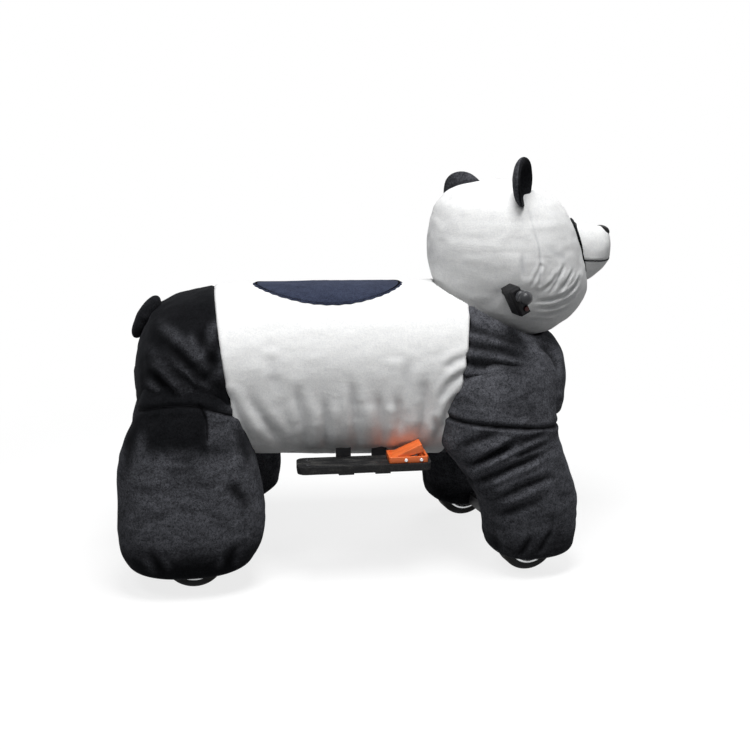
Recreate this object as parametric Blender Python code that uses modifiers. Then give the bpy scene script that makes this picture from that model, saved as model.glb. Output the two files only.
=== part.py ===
"""Plush ride-on animal: padded covers over a steel trolley whose front axle turns with the head.

Metres, +X forward, +Y to the animal's left, +Z up, the floor at zero.
The front axle, the handlebar and the head stand turned a little to the left, as in the photograph.
"""
from math import acos, atan2, cos, hypot, pi, radians, sin, sqrt, tan

import bmesh
import bpy
from mathutils import Matrix, Vector

# Layout of the trolley
rear_axle_x = -0.476
steer_x = 0.335
track = 0.42
rest_turn = radians(12)
steer_limit = radians(18)
touch_gap = 0.0003
soft_gap = 0.0008
overrun = 0.02
far_out = 2.0

# Wheels and axles
wheel_radius = 0.078
wheel_width = 0.052
tyre_depth = 0.024
tyre_shoulder = 0.008
rim_lip = 0.004
rim_web = 0.016
hub_radius = 0.02
axle_radius = 0.008
nut_radius = 0.014
nut_width = 0.008
wheel_sides = 24
axle_z = wheel_radius * cos(pi / wheel_sides)

# Steel frame
rail_size = 0.03
rail_wall = 0.0025
rail_y = 0.07
rail_z = 0.40
rail_rear_x = -0.56
rail_front_x = 0.425
rail_top_z = rail_z + rail_size
bar_round = 0.003
bearing_height = 0.05
bearing_length = 0.054

# Seat
riser_thickness = 0.018
riser_width = 0.17
riser_rear_x = -0.32
riser_front_x = 0.10
seat_z = 0.66
seat_thickness = 0.018
seat_width = 0.21
seat_rear_x = -0.355
seat_front_x = 0.145

# Drive, battery and electrics
pulley_width = 0.016
pulley_flange = 0.005
flange_width = 0.002
axle_pulley_radius = 0.045
motor_pulley_radius = 0.015
pulley_y = -0.03
belt_width = 0.014
belt_thickness = 0.004
motor_x = -0.395
motor_radius = 0.038
motor_length = 0.095
motor_end_step = 0.006
motor_shaft_radius = 0.004
motor_shaft_depth = 0.02
battery_length = 0.15
battery_width = 0.17
battery_height = 0.165
battery_x = -0.185
control_length = 0.10
control_width = 0.14
control_height = 0.065
control_x = -0.43

# Footboards, their hangers and the pedal
board_rear_x = -0.216
board_front_x = 0.116
board_inner_y = 0.20
board_outer_y = 0.28
board_z = 0.30
board_thickness = 0.0185
board_corner = 0.02
hanger_width = 0.038
hanger_steel = 0.006
hanger_y = 0.19
hanger_foot_y = 0.272
hanger_rear_x = -0.096
hanger_front_x = -0.0055
pedal_rear_x = 0.010
pedal_front_x = 0.107
pedal_inner_y = 0.209
pedal_outer_y = 0.273
pedal_base_height = 0.0155
pedal_seat_depth = 0.0002
pedal_rim = 0.006
pedal_floor = 0.004
pedal_hinge_radius = 0.004
pedal_side_gap = 0.001
pedal_end_gap = 0.0012
pedal_points = 8
pedal_ribs = 3
rib_shares = (0.12, 0.88)
spring_place_share = 0.72
pedal_low_angle = radians(12)
pedal_high_angle = radians(28)
pedal_rib_notch = 0.004
spring_radius = 0.007
spring_wire = 0.0006
spring_curls = 4
spring_points = 8

# Steering column, front axle and handlebar
column_radius = 0.017
collar_radius = 0.024
collar_height = 0.014
tube_wall = 0.004
bush_wall = 0.0045
head_tube_low_z = 0.36
head_tube_high_z = 0.54
neck_plate_rear_x = 0.25
neck_plate_front_x = 0.42
neck_plate_width = 0.17
neck_plate_thickness = 0.012
beam_size = 0.036
beam_half_length = 0.155
leg_bar_z = 0.215
leg_bar_height = 0.02
leg_bar_width = 0.05
leg_bar_half_length = 0.25
bar_z = 0.727
bar_radius = 0.011
bar_sweep = 0.06
bar_bend_in_y = 0.05
bar_bend_out_y = 0.15
grip_inner_y = 0.2145
grip_radius = 0.0155
ball_radius = 0.017
ball_y = 0.283
grip_sides = 14
pod_inner_y = 0.192
pod_width = 0.022
pod_depth = 0.030
pod_length = 0.065
pod_drop = 0.010
pod_tilt = radians(27)
pod_round = 0.004
button_radius = 0.006
button_proud = 0.004
button_travel = 0.003
button_depth = 0.008
button_drop = 0.016

# Padded body
body_rear_x = -0.614
body_front_x = 0.503
belly_z = 0.280
back_z = 0.738
body_half_width = 0.262
rear_seam_x = -0.385
rear_seam_lean = radians(-8)
front_seam_x = 0.205
front_seam_lean = radians(10)
seam_middle_z = 0.55
cavity_half_width = 0.12
cavity_top_z = 0.69
cavity_corner = 0.02
rump_cavity_rear_x = -0.575
rump_cavity_top_z = 0.60
chest_cavity_front_x = 0.45
chest_cavity_half_width = 0.10
chest_cavity_top_z = 0.558
panel_top_z = 0.325
panel_rear_x = -0.345
panel_front_x = 0.13
column_hole_radius = 0.03
saddle_thickness = 0.007
saddle_x = -0.12
saddle_half_length = 0.195
saddle_half_width = 0.165

# Legs
foot_z = 0.05
rear_leg_top_z = 0.545
rear_leg_half_length = 0.182
rear_leg_half_width = 0.12
split_z = 0.275
split_gap = 0.003
front_leg_half_length = 0.15
front_leg_half_width = 0.105
thigh_top_z = 0.58
boot_half_length = 0.137
wheel_well_gap = 0.014
axle_slot_gap = 0.006

# Head
head_low_z = 0.588
head_high_z = 0.985
head_half_length = 0.216
head_half_width = 0.207
neck_clearance = 0.0025
snout_rear_x = 0.165
snout_front_x = 0.332
snout_z = 0.795
snout_half_height = 0.085
snout_half_width = 0.086
nose_size = (0.018, 0.030, 0.018)
nose_place = (0.314, 0, 0.840)
ear_size = (0.017, 0.054, 0.062)
ear_place = (-0.010, 0.150, 0.990)
ear_lean = radians(26)
ear_turn = radians(17)
slack_ear_place = (-0.052, 0.155, 0.950)
slack_ear_lean = radians(38)
slack_ear_turn = radians(30)
patch_thickness = 0.005
patch_half_width = 0.036
patch_half_height = 0.055
patch_z = 0.855
patch_lean = radians(20)
patch_turn = radians(33)
tail_size = (0.060, 0.045, 0.017)
tail_place = (-0.577, 0, 0.650)
tail_slope = radians(58)

# Body sections from rear to front: place, underside, top and half width
body_shares = (
    (0.000, 0.38, 0.57, 0.24), (0.009, 0.24, 0.68, 0.54), (0.030, 0.14, 0.82, 0.79),
    (0.075, 0.095, 0.918, 0.945), (0.135, 0.07, 0.968, 1.0), (0.205, 0.04, 0.996, 0.962),
    (0.330, 0.006, 1.0, 0.905), (0.500, 0.0, 1.0, 0.886), (0.635, 0.0, 1.0, 0.897),
    (0.720, 0.01, 0.996, 0.927), (0.790, 0.085, 0.955, 0.954), (0.843, 0.17, 0.875, 0.954),
    (0.895, 0.205, 0.79, 0.92), (0.948, 0.21, 0.70, 0.80), (0.982, 0.23, 0.665, 0.60),
    (1.000, 0.31, 0.60, 0.33),
)
# Rear leg sections upward: height, shift forward, half length, distance out and half width
rear_leg_shares = (
    (0.0, 0.0, 0.68, 1.0, 0.78), (0.0227, 0.0, 0.82, 1.0, 0.88), (0.0818, -0.01, 0.935, 1.0, 0.96),
    (0.2055, -0.01, 1.0, 1.0, 1.0), (0.3673, 0.0, 0.985, 1.0, 1.0), (0.561, -0.033, 0.92, 0.985, 0.95),
    (0.7152, -0.033, 0.79, 0.955, 0.87), (0.822, -0.01, 0.68, 0.91, 0.80),
    (1.0, 0.0, 0.50, 0.76, 0.52),
)
# Front boot sections upward, about the steering axis
boot_shares = (
    (0.0, 0.058, 0.66, 0.80), (0.05, 0.058, 0.77, 0.90), (0.185, 0.058, 0.845, 0.955),
    (0.44, 0.055, 0.905, 1.0), (0.64, 0.0, 0.95, 1.0), (0.82, -0.13, 1.0, 0.99), (1.1, -0.26, 1.0, 0.96),
)
# Fixed upper part of a front leg, from below the split up into the shoulder, columns as the rear leg's
thigh_shares = (
    (-0.082, -0.02, 0.965, 1.0, 1.0), (0.0705, -0.11, 0.995, 1.0, 1.0), (0.2046, -0.22, 1.02, 1.0, 1.0),
    (0.3574, -0.245, 0.99, 1.0, 0.99), (0.64, -0.21, 0.92, 0.94, 0.90), (0.836, -0.15, 0.82, 0.85, 0.76),
    (1.0, -0.12, 0.70, 0.74, 0.60),
)
# Head sections upward: height, shift forward, half length and half width
head_shares = (
    (0.0, 0.06, 0.42, 0.42), (0.03, 0.10, 0.66, 0.60), (0.08, 0.16, 0.84, 0.74), (0.16, 0.185, 0.945, 0.88),
    (0.28, 0.165, 0.99, 0.96), (0.40, 0.12, 1.0, 1.0), (0.53, 0.075, 0.96, 1.0), (0.65, 0.045, 0.905, 0.965),
    (0.77, 0.01, 0.83, 0.89), (0.885, -0.035, 0.69, 0.74), (0.96, -0.06, 0.48, 0.53), (1.0, -0.06, 0.24, 0.26),
)
# Snout sections forward: place, drop of the middle, half height and half width
snout_shares = (
    (0.0, 0.09, 0.97, 1.0), (0.42, 0.06, 0.95, 0.95), (0.70, 0.0, 0.84, 0.86), (0.90, 0.0, 0.66, 0.68),
    (1.0, 0.0, 0.36, 0.38),
)
ring_points = 12
body_squareness = 2.15
belly_squareness = 2.8
leg_squareness = 2.5
bowl_points = 14
# A subdivided ring shrinks by this much inside its cage
cage_gain = 3 / (2 + cos(2 * pi / ring_points))
bowl_gain = 3 / (2 + cos(2 * pi / bowl_points))

finishes = {
    "white_plush": ((0.86, 0.87, 0.86), 0.95, 0.0),
    "black_plush": ((0.02, 0.02, 0.024), 0.95, 0.0),
    "navy_plush": ((0.02, 0.03, 0.07), 0.95, 0.0),
    "frame_paint": ((0.03, 0.03, 0.033), 0.45, 0.6),
    "plated_steel": ((0.62, 0.63, 0.65), 0.35, 1.0),
    "plywood": ((0.55, 0.40, 0.24), 0.7, 0.0),
    "board_paint": ((0.025, 0.025, 0.027), 0.55, 0.0),
    "tyre_rubber": ((0.018, 0.018, 0.018), 0.85, 0.0),
    "grip_rubber": ((0.07, 0.07, 0.075), 0.5, 0.0),
    "belt_rubber": ((0.02, 0.02, 0.02), 0.8, 0.0),
    "black_plastic": ((0.02, 0.02, 0.022), 0.45, 0.0),
    "orange_plastic": ((0.95, 0.20, 0.03), 0.3, 0.0),
    "button_red": ((0.6, 0.03, 0.02), 0.35, 0.0),
    "battery_case": ((0.05, 0.06, 0.08), 0.5, 0.0),
    "motor_paint": ((0.18, 0.19, 0.2), 0.4, 0.7),
    "bronze": ((0.72, 0.48, 0.24), 0.35, 1.0),
    "nose_black": ((0.01, 0.01, 0.012), 0.3, 0.0),
}


def empty_scene():
    for leftover in list(bpy.data.objects):
        bpy.data.objects.remove(leftover)
    collection = bpy.data.collections.new("plush_ride_on_animal")
    bpy.context.scene.collection.children.link(collection)
    return collection


parts = empty_scene()


def finish_material(finish):
    """One Principled material for each finish, made when first asked for."""
    found = bpy.data.materials.get(finish)
    if found:
        return found
    colour, roughness, metallic = finishes[finish]
    made = bpy.data.materials.new(finish)
    made.use_nodes = True
    shader = made.node_tree.nodes["Principled BSDF"]
    shader.inputs["Base Color"].default_value = (*colour, 1)
    shader.inputs["Roughness"].default_value = roughness
    shader.inputs["Metallic"].default_value = metallic
    return made


def frame_empty(name, place, turn=0.0, parent=None):
    """An empty on a joint's axis, which carries what turns about it."""
    empty = bpy.data.objects.new(name, None)
    parts.objects.link(empty)
    empty.location = place
    empty.rotation_euler = (0, 0, turn)
    empty.parent = parent
    return empty


def place_mesh(name, mesh, finish=None, parent=None, place=(0, 0, 0)):
    """A mesh becomes a named object; one without a finish is only a tool for cutting."""
    made = bpy.data.objects.new(name, mesh)
    parts.objects.link(made)
    made.location = place
    made.parent = parent
    if finish:
        mesh.materials.clear()
        mesh.materials.append(finish_material(finish))
    bpy.context.view_layer.update()
    return made


def bake(made):
    """Turn an object's modifiers into its own mesh."""
    bpy.context.view_layer.update()
    seen = made.evaluated_get(bpy.context.evaluated_depsgraph_get())
    mesh = bpy.data.meshes.new_from_object(seen)
    old = made.data
    made.modifiers.clear()
    made.data = mesh
    bpy.data.meshes.remove(old)
    return made


def weld(made, distance=touch_gap / 30):
    """Merge doubled points and face the surface outward."""
    work = bmesh.new()
    work.from_mesh(made.data)
    bmesh.ops.remove_doubles(work, verts=work.verts, dist=distance)
    bmesh.ops.recalc_face_normals(work, faces=work.faces)
    work.to_mesh(made.data)
    work.free()
    return made


def combine(target, tool, operation):
    """Cut, join or keep the common part, then clear the tool away."""
    step = target.modifiers.new("shape", "BOOLEAN")
    step.operation = operation
    step.solver = "EXACT"
    step.object = tool
    bake(target)
    bpy.data.objects.remove(tool)
    return weld(target)


def cut(target, *tools):
    for tool in tools:
        combine(target, tool, "DIFFERENCE")
    return target


def join(target, *tools):
    for tool in tools:
        combine(target, tool, "UNION")
    return target


def keep(target, tool):
    return combine(target, tool, "INTERSECT")


def block(name, low, high, finish=None, parent=None, round_by=0.0, which=None, segments=1):
    """A box between two corners, its edges rounded; which picks the edges along one axis."""
    low, high = Vector(low), Vector(high)
    middle, size = (low + high) / 2, high - low
    work = bmesh.new()
    bmesh.ops.create_cube(work, size=1)
    bmesh.ops.scale(work, vec=size, verts=work.verts)
    if round_by:
        edges = work.edges[:]
        if which is not None:
            edges = [e for e in edges if abs((e.verts[0].co - e.verts[1].co)[which]) > size[which] / 2]
        bmesh.ops.bevel(work, geom=edges, offset=round_by, segments=segments, profile=0.5,
                        affect="EDGES", clamp_overlap=True, material=-1)
    mesh = bpy.data.meshes.new(name)
    work.to_mesh(mesh)
    work.free()
    return place_mesh(name, mesh, finish, parent, middle)


def turned(name, profile, finish=None, parent=None, place=(0, 0, 0), sides=24, closed=False,
           along="Z", spin=0.0):
    """A profile of radius and height, read down its outer side, turned about an axis."""
    mesh = bpy.data.meshes.new(name)
    edges = [(i, i + 1) for i in range(len(profile) - 1)]
    if closed:
        edges.append((len(profile) - 1, 0))
    mesh.from_pydata([(radius, 0, height) for radius, height in profile], edges, [])
    made = place_mesh(name, mesh, finish, parent)
    screw = made.modifiers.new("turn", "SCREW")
    screw.axis = "Z"
    screw.steps = sides
    screw.render_steps = sides
    screw.use_merge_vertices = True
    screw.merge_threshold = touch_gap / 30
    bake(made)
    weld(made)
    made.data.transform(Matrix.Rotation(spin, 4, "Z"))
    if along == "Y":
        made.data.transform(Matrix.Rotation(-pi / 2, 4, "X"))
    made.location = place
    made.data.shade_smooth()
    made.data.set_sharp_from_angle(angle=radians(35))
    if finish:
        made.data.materials.clear()
        made.data.materials.append(finish_material(finish))
    bpy.context.view_layer.update()
    return made


def rod(name, radius, low, high, finish=None, parent=None, place=(0, 0, 0), sides=24, along="Z"):
    """A plain round bar from low to high along its axis."""
    return turned(name, [(0, high), (radius, high), (radius, low), (0, low)], finish, parent, place,
                  sides, along=along)


def sleeve(name, inner, outer, low, high, finish, parent=None, place=(0, 0, 0), sides=24, along="Z"):
    """A plain round tube."""
    ring = [(outer, high), (outer, low), (inner, low), (inner, high)]
    return turned(name, ring, finish, parent, place, sides, True, along)


def bent_tube(name, points, radius, finish=None, parent=None, resolution=2):
    """A round bar along straight runs, its ends closed."""
    path = bpy.data.curves.new(name, "CURVE")
    path.dimensions = "3D"
    path.bevel_depth = radius
    path.bevel_resolution = resolution
    path.use_fill_caps = True
    spline = path.splines.new("POLY")
    spline.points.add(len(points) - 1)
    for point, at in zip(spline.points, points):
        point.co = (*at, 1)
    curve = bpy.data.objects.new(name + "_path", path)
    parts.objects.link(curve)
    curve.parent = parent
    bpy.context.view_layer.update()
    mesh = bpy.data.meshes.new_from_object(curve.evaluated_get(bpy.context.evaluated_depsgraph_get()))
    made = place_mesh(name, mesh, finish, parent)
    bpy.data.objects.remove(curve)
    return weld(made)


def sheet_cut(name, loops, thickness, finish, plane, middle, parent=None):
    """A flat outline with its holes, given thickness across its plane."""
    outline = bpy.data.curves.new(name, "CURVE")
    outline.dimensions = "2D"
    outline.fill_mode = "BOTH"
    outline.extrude = thickness / 2
    for loop in loops:
        spline = outline.splines.new("POLY")
        spline.points.add(len(loop) - 1)
        spline.use_cyclic_u = True
        for point, (across, up) in zip(spline.points, loop):
            point.co = (across, up, 0, 1)
    curve = bpy.data.objects.new(name + "_outline", outline)
    parts.objects.link(curve)
    bpy.context.view_layer.update()
    mesh = bpy.data.meshes.new_from_object(curve.evaluated_get(bpy.context.evaluated_depsgraph_get()))
    bpy.data.objects.remove(curve)
    mesh.transform(Matrix.Rotation(pi / 2, 4, "X"))
    if plane == "YZ":
        mesh.transform(Matrix.Rotation(pi / 2, 4, "Z"))
    made = place_mesh(name, mesh, finish, parent, middle)
    return weld(made)


def ring(half_a, half_b, squareness, grow, low_squareness=None):
    """Points round one section, a circle drawn towards a square."""
    points = []
    for step in range(ring_points):
        angle = 2 * pi * (step + 0.5) / ring_points
        c, s = cos(angle), sin(angle)
        power = 2 / (low_squareness if low_squareness and s < 0 else squareness)
        across = abs(c) ** power * (1 if c > 0 else -1)
        up = abs(s) ** power * (1 if s > 0 else -1)
        points.append((across * (half_a * cage_gain + grow), up * (half_b * cage_gain + grow)))
    return points


def soft_form(name, sections, finish=None, parent=None, levels=1):
    """A stuffed form: a coarse cage through its sections, smoothed by subdivision."""
    work = bmesh.new()
    loops = []
    for section in sections:
        loops.append([work.verts.new(point) for point in section])
    count = len(loops[0])
    for low, high in zip(loops, loops[1:]):
        for step in range(count):
            after = (step + 1) % count
            work.faces.new((low[step], low[after], high[after], high[step]))
    work.faces.new(reversed(loops[0]))
    work.faces.new(loops[-1])
    bmesh.ops.recalc_face_normals(work, faces=work.faces)
    mesh = bpy.data.meshes.new(name)
    work.to_mesh(mesh)
    work.free()
    made = place_mesh(name, mesh, finish, parent)
    smooth = made.modifiers.new("stuffing", "SUBSURF")
    smooth.levels = levels
    smooth.render_levels = levels
    bake(made)
    work = bmesh.new()
    work.from_mesh(made.data)
    bmesh.ops.triangulate(work, faces=work.faces)
    work.to_mesh(made.data)
    work.free()
    return made


def soft_ball(name, size, place, turn, finish=None, parent=None, sides=14, rings=8):
    """A flattened ball, for ears, patches, the nose and the tail."""
    work = bmesh.new()
    bmesh.ops.create_uvsphere(work, u_segments=sides, v_segments=rings, radius=1)
    bmesh.ops.scale(work, vec=size, verts=work.verts)
    bmesh.ops.rotate(work, cent=(0, 0, 0), matrix=turn, verts=work.verts)
    mesh = bpy.data.meshes.new(name)
    work.to_mesh(mesh)
    work.free()
    return place_mesh(name, mesh, finish, parent, place)


def body_form(name, grow=0.0):
    """The whole padded body, before it is cut into rump, barrel and shoulders."""
    length = body_front_x - body_rear_x
    height = back_z - belly_z
    sections = []
    for place_share, low_share, high_share, width_share in body_shares:
        x = body_rear_x + place_share * length
        if place_share == 0:
            x -= grow
        if place_share == 1:
            x += grow
        middle = belly_z + (low_share + high_share) / 2 * height
        half_height = (high_share - low_share) / 2 * height
        around = ring(width_share * body_half_width, half_height, body_squareness, grow, belly_squareness)
        sections.append([(x, across, middle + up) for across, up in around])
    return soft_form(name, sections)


def half_space(name, x, lean, forward):
    """A large block on one side of a leaning seam plane."""
    shift = far_out / 2 if forward else -far_out / 2
    made = block(name, (shift - far_out / 2, -far_out / 2, -far_out / 2),
                 (shift + far_out / 2, far_out / 2, far_out / 2))
    made.data.transform(Matrix.Translation(made.location))
    made.location = (x, 0, seam_middle_z)
    made.rotation_euler = (0, lean, 0)
    return made


def cavity(name, low_x, high_x, half_width, top_z):
    """A hollow open below, for the frame and what it carries."""
    return block(name, (low_x, -half_width, -overrun), (high_x, half_width, top_z), round_by=cavity_corner,
                 which=0)


def rear_leg_form(name, side, grow=0.0):
    height = rear_leg_top_z - foot_z
    sections = []
    for height_share, shift_share, length_share, out_share, width_share in rear_leg_shares:
        x = rear_axle_x + shift_share * rear_leg_half_length
        y = side * out_share * track / 2
        z = foot_z + height_share * height
        around = ring(length_share * rear_leg_half_length, width_share * rear_leg_half_width, leg_squareness,
                      grow)
        sections.append([(x + along, y + across, z) for along, across in around])
    return soft_form(name, sections)


def thigh_form(name, side, grow=0.0):
    height = thigh_top_z - split_z
    sections = []
    for height_share, shift_share, length_share, out_share, width_share in thigh_shares:
        x = steer_x + shift_share * front_leg_half_length
        y = side * out_share * track / 2
        z = split_z + height_share * height
        around = ring(length_share * front_leg_half_length, width_share * front_leg_half_width,
                      leg_squareness, grow)
        sections.append([(x + along, y + across, z) for along, across in around])
    made = soft_form(name, sections)
    below = block(name + "_below", (-far_out, -far_out, -far_out), (far_out, far_out, split_z - grow))
    return cut(made, below)


def head_sections(grow=0.0):
    height = head_high_z - head_low_z
    for height_share, shift_share, length_share, width_share in head_shares:
        z = head_low_z + height_share * height
        yield (z, shift_share * head_half_length, length_share * head_half_length + grow,
               width_share * head_half_width + grow)


def head_form(name, finish=None, parent=None, grow=0.0):
    sections = []
    for z, shift, half_length, half_width in head_sections(grow):
        if z == head_low_z:
            z -= grow
        around = ring(half_length, half_width, 2, 0)
        sections.append([(shift + along, across, z) for along, across in around])
    return soft_form(name, sections, finish, parent)


def head_reach(angle, shift, half_length, half_width):
    """Distance from the steering axis to an oval section of the head."""
    c, s = cos(angle) / half_length, sin(angle) / half_width
    across = c * c + s * s
    root = across - (shift * s / half_length) ** 2
    return (c * shift / half_length + sqrt(root)) / across


def neck_bowl():
    """The hollow that the head sweeps in the shoulders, from one steering limit to the other."""
    sections = []
    turns = [-steer_limit, -steer_limit / 2, 0, steer_limit / 2, steer_limit]
    for z, shift, half_length, half_width in head_sections():
        points = []
        for step in range(bowl_points):
            angle = 2 * pi * (step + 0.5) / bowl_points
            reach = max(head_reach(angle - turn, shift, half_length, half_width) for turn in turns)
            reach = reach * bowl_gain + neck_clearance
            low_z = z - neck_clearance if z == head_low_z else z
            points.append((steer_x + reach * cos(angle), reach * sin(angle), low_z))
        sections.append(points)
    return soft_form("neck_bowl", sections)


def wheel(name, parent, place):
    """A solid tyre on a rim, turning about Y, a flat of the tyre to the floor."""
    half = wheel_width / 2
    rim_radius = wheel_radius - tyre_depth
    tread = [(wheel_radius, half - tyre_shoulder), (wheel_radius, tyre_shoulder - half),
             (wheel_radius - tyre_shoulder, -half), (rim_radius, -half),
             (rim_radius, half), (wheel_radius - tyre_shoulder, half)]
    flat = pi / wheel_sides
    turned("tyre_" + name, tread, "tyre_rubber", parent, place, wheel_sides, True, "Y", flat)
    seat = rim_radius - touch_gap
    bore = axle_radius + touch_gap
    web = rim_web / 2
    face = [(seat, half), (seat, -half), (seat - rim_lip, -half), (hub_radius, -web), (hub_radius, -half),
            (bore, -half), (bore, half), (hub_radius, half), (hub_radius, web), (seat - rim_lip, half)]
    turned("rim_" + name, face, "plated_steel", parent, place, wheel_sides, True, "Y", flat)


def axle_profile(half_length, with_pulley):
    """Round shaft with a nut at each end; the driven one also has its belt pulley."""
    outer = track / 2 + wheel_width / 2 + touch_gap
    profile = [(0, half_length), (nut_radius, half_length), (nut_radius, outer), (axle_radius, outer)]
    if with_pulley:
        half = pulley_width / 2
        rim = axle_pulley_radius + pulley_flange
        profile += [(axle_radius, pulley_y + half + flange_width), (rim, pulley_y + half + flange_width),
                    (rim, pulley_y + half), (axle_pulley_radius, pulley_y + half),
                    (axle_pulley_radius, pulley_y - half), (rim, pulley_y - half),
                    (rim, pulley_y - half - flange_width), (axle_radius, pulley_y - half - flange_width)]
    profile += [(axle_radius, -outer), (nut_radius, -outer), (nut_radius, -half_length), (0, -half_length)]
    return profile


def belt_loop(radius_a, radius_b, a, b, extra, steps=16):
    """Outline of a belt round two pulleys, as two arcs joined by their outer tangents."""
    span = hypot(b[0] - a[0], b[1] - a[1])
    heading = atan2(b[1] - a[1], b[0] - a[0])
    wrap = acos((radius_a - radius_b) / span)
    points = []
    for centre, radius, first, last in ((a, radius_a, heading + wrap, heading + 2 * pi - wrap),
                                        (b, radius_b, heading - wrap, heading + wrap)):
        for step in range(steps + 1):
            angle = first + (last - first) * step / steps
            points.append((centre[0] + (radius + extra) * cos(angle),
                           centre[1] + (radius + extra) * sin(angle)))
    return points


def build_frame():
    """Rails, posts, bearings and plates of the welded trolley."""
    half = rail_size / 2
    inner = half - rail_wall
    for name, y in (("rail_left", rail_y), ("rail_right", -rail_y)):
        rail = block(name, (rail_rear_x, y - half, rail_z), (rail_front_x, y + half, rail_top_z), "frame_paint",
                     round_by=bar_round, which=0)
        cut(rail, block("hollow", (rail_rear_x - overrun, y - inner, rail_z + rail_wall),
                        (rail_front_x + overrun, y + inner, rail_top_z - rail_wall)))
    inside = rail_y - half - touch_gap
    block("rear_cross_member", (rail_rear_x, -inside, rail_z), (rail_rear_x + rail_size, inside, rail_top_z),
          "frame_paint", round_by=bar_round, which=1)
    block_low = axle_z - bearing_height / 2
    block_high = axle_z + bearing_height / 2
    for side, y in (("left", rail_y), ("right", -rail_y)):
        block("rear_post_" + side, (rear_axle_x - half, y - half, block_high + touch_gap),
              (rear_axle_x + half, y + half, rail_z - touch_gap), "frame_paint", round_by=bar_round, which=2)
        bearing = block("axle_bearing_" + side, (rear_axle_x - bearing_length / 2, y - half, block_low),
                        (rear_axle_x + bearing_length / 2, y + half, block_high), "frame_paint",
                        round_by=bar_round * 2, which=1)
        cut(bearing, rod("bore", axle_radius + touch_gap, -rail_size, rail_size,
                         place=(rear_axle_x, y, axle_z), along="Y"))
    plate = block("neck_plate", (neck_plate_rear_x, -neck_plate_width / 2, rail_top_z + touch_gap),
                  (neck_plate_front_x, neck_plate_width / 2, rail_top_z + touch_gap + neck_plate_thickness),
                  "frame_paint", round_by=bar_round, which=2)
    bush_inner = column_radius + touch_gap
    bush_outer = bush_inner + bush_wall
    tube_inner = bush_outer + touch_gap
    tube_outer = tube_inner + tube_wall
    cut(plate, rod("bore", tube_outer + touch_gap, rail_z, rail_top_z + neck_plate_thickness + overrun,
                   place=(steer_x, 0, 0), sides=32))
    sleeve("head_tube", tube_inner, tube_outer, head_tube_low_z, head_tube_high_z, "frame_paint",
           place=(steer_x, 0, 0), sides=32)
    flange_top = head_tube_low_z - touch_gap
    flange_low = flange_top - bush_wall
    bush = [(bush_outer, head_tube_high_z), (bush_outer, flange_top), (tube_outer, flange_top),
            (tube_outer, flange_low), (bush_inner, flange_low), (bush_inner, head_tube_high_z)]
    turned("head_bush", bush, "bronze", place=(steer_x, 0, 0), closed=True)


def build_seat():
    """Plywood risers and the board that takes the rider's weight."""
    low = rail_top_z + touch_gap
    for name, x in (("seat_riser_rear", riser_rear_x), ("seat_riser_front", riser_front_x)):
        block(name, (x - riser_thickness / 2, -riser_width / 2, low),
              (x + riser_thickness / 2, riser_width / 2, seat_z - touch_gap), "plywood", round_by=bar_round,
              which=0)
    block("seat_board", (seat_rear_x, -seat_width / 2, seat_z), (seat_front_x, seat_width / 2,
                                                                 seat_z + seat_thickness), "plywood",
          round_by=bar_round * 4, which=2, segments=2)


def build_drive():
    """Motor, belt, battery and control box."""
    motor_z = rail_z - touch_gap - motor_radius
    end = pulley_y + pulley_width / 2 + flange_width + touch_gap + motor_end_step
    step = motor_end_step
    bore = motor_shaft_radius + touch_gap
    motor = [(0, motor_length), (motor_radius - step, motor_length), (motor_radius, motor_length - step),
             (motor_radius, step), (motor_radius - step, 0), (bore, 0), (bore, motor_shaft_depth),
             (0, motor_shaft_depth)]
    turned("drive_motor", motor, "motor_paint", place=(motor_x, end, motor_z), along="Y")
    half = pulley_width / 2
    rim = motor_pulley_radius + pulley_flange
    inner_end = end - pulley_y + motor_shaft_depth - touch_gap
    shaft = motor_shaft_radius
    pulley = [(0, inner_end), (shaft, inner_end), (shaft, half + flange_width), (rim, half + flange_width),
              (rim, half), (motor_pulley_radius, half), (motor_pulley_radius, -half), (rim, -half),
              (rim, -half - flange_width), (0, -half - flange_width)]
    axis = frame_empty("motor_axis", (motor_x, pulley_y, motor_z))
    turned("motor_pulley", pulley, "plated_steel", axis, sides=16, along="Y")
    low, high = (rear_axle_x, axle_z), (motor_x, motor_z)
    seat = touch_gap * 2
    outer = belt_loop(axle_pulley_radius, motor_pulley_radius, low, high, seat + belt_thickness)
    inner = belt_loop(axle_pulley_radius, motor_pulley_radius, low, high, seat)
    sheet_cut("drive_belt", [outer, inner], belt_width, "belt_rubber", "XZ", (0, pulley_y, 0))
    base = rail_top_z + touch_gap
    block("battery", (battery_x - battery_length / 2, -battery_width / 2, base),
          (battery_x + battery_length / 2, battery_width / 2, base + battery_height), "battery_case",
          round_by=bar_round)
    block("control_box", (control_x - control_length / 2, -control_width / 2, base),
          (control_x + control_length / 2, control_width / 2, base + control_height), "black_plastic",
          round_by=bar_round)


def hanger_outline():
    """Bent flat bar seen along X: under one board, up, across below the rails and down again."""
    top = rail_z - touch_gap
    foot = board_z - touch_gap
    half = hanger_steel / 2
    right = [(hanger_y - half, top - hanger_steel), (hanger_y - half, foot - hanger_steel),
             (hanger_foot_y, foot - hanger_steel), (hanger_foot_y, foot), (hanger_y + half, foot),
             (hanger_y + half, top)]
    left = [(-y, z) for y, z in reversed(right)]
    return right + left


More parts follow.
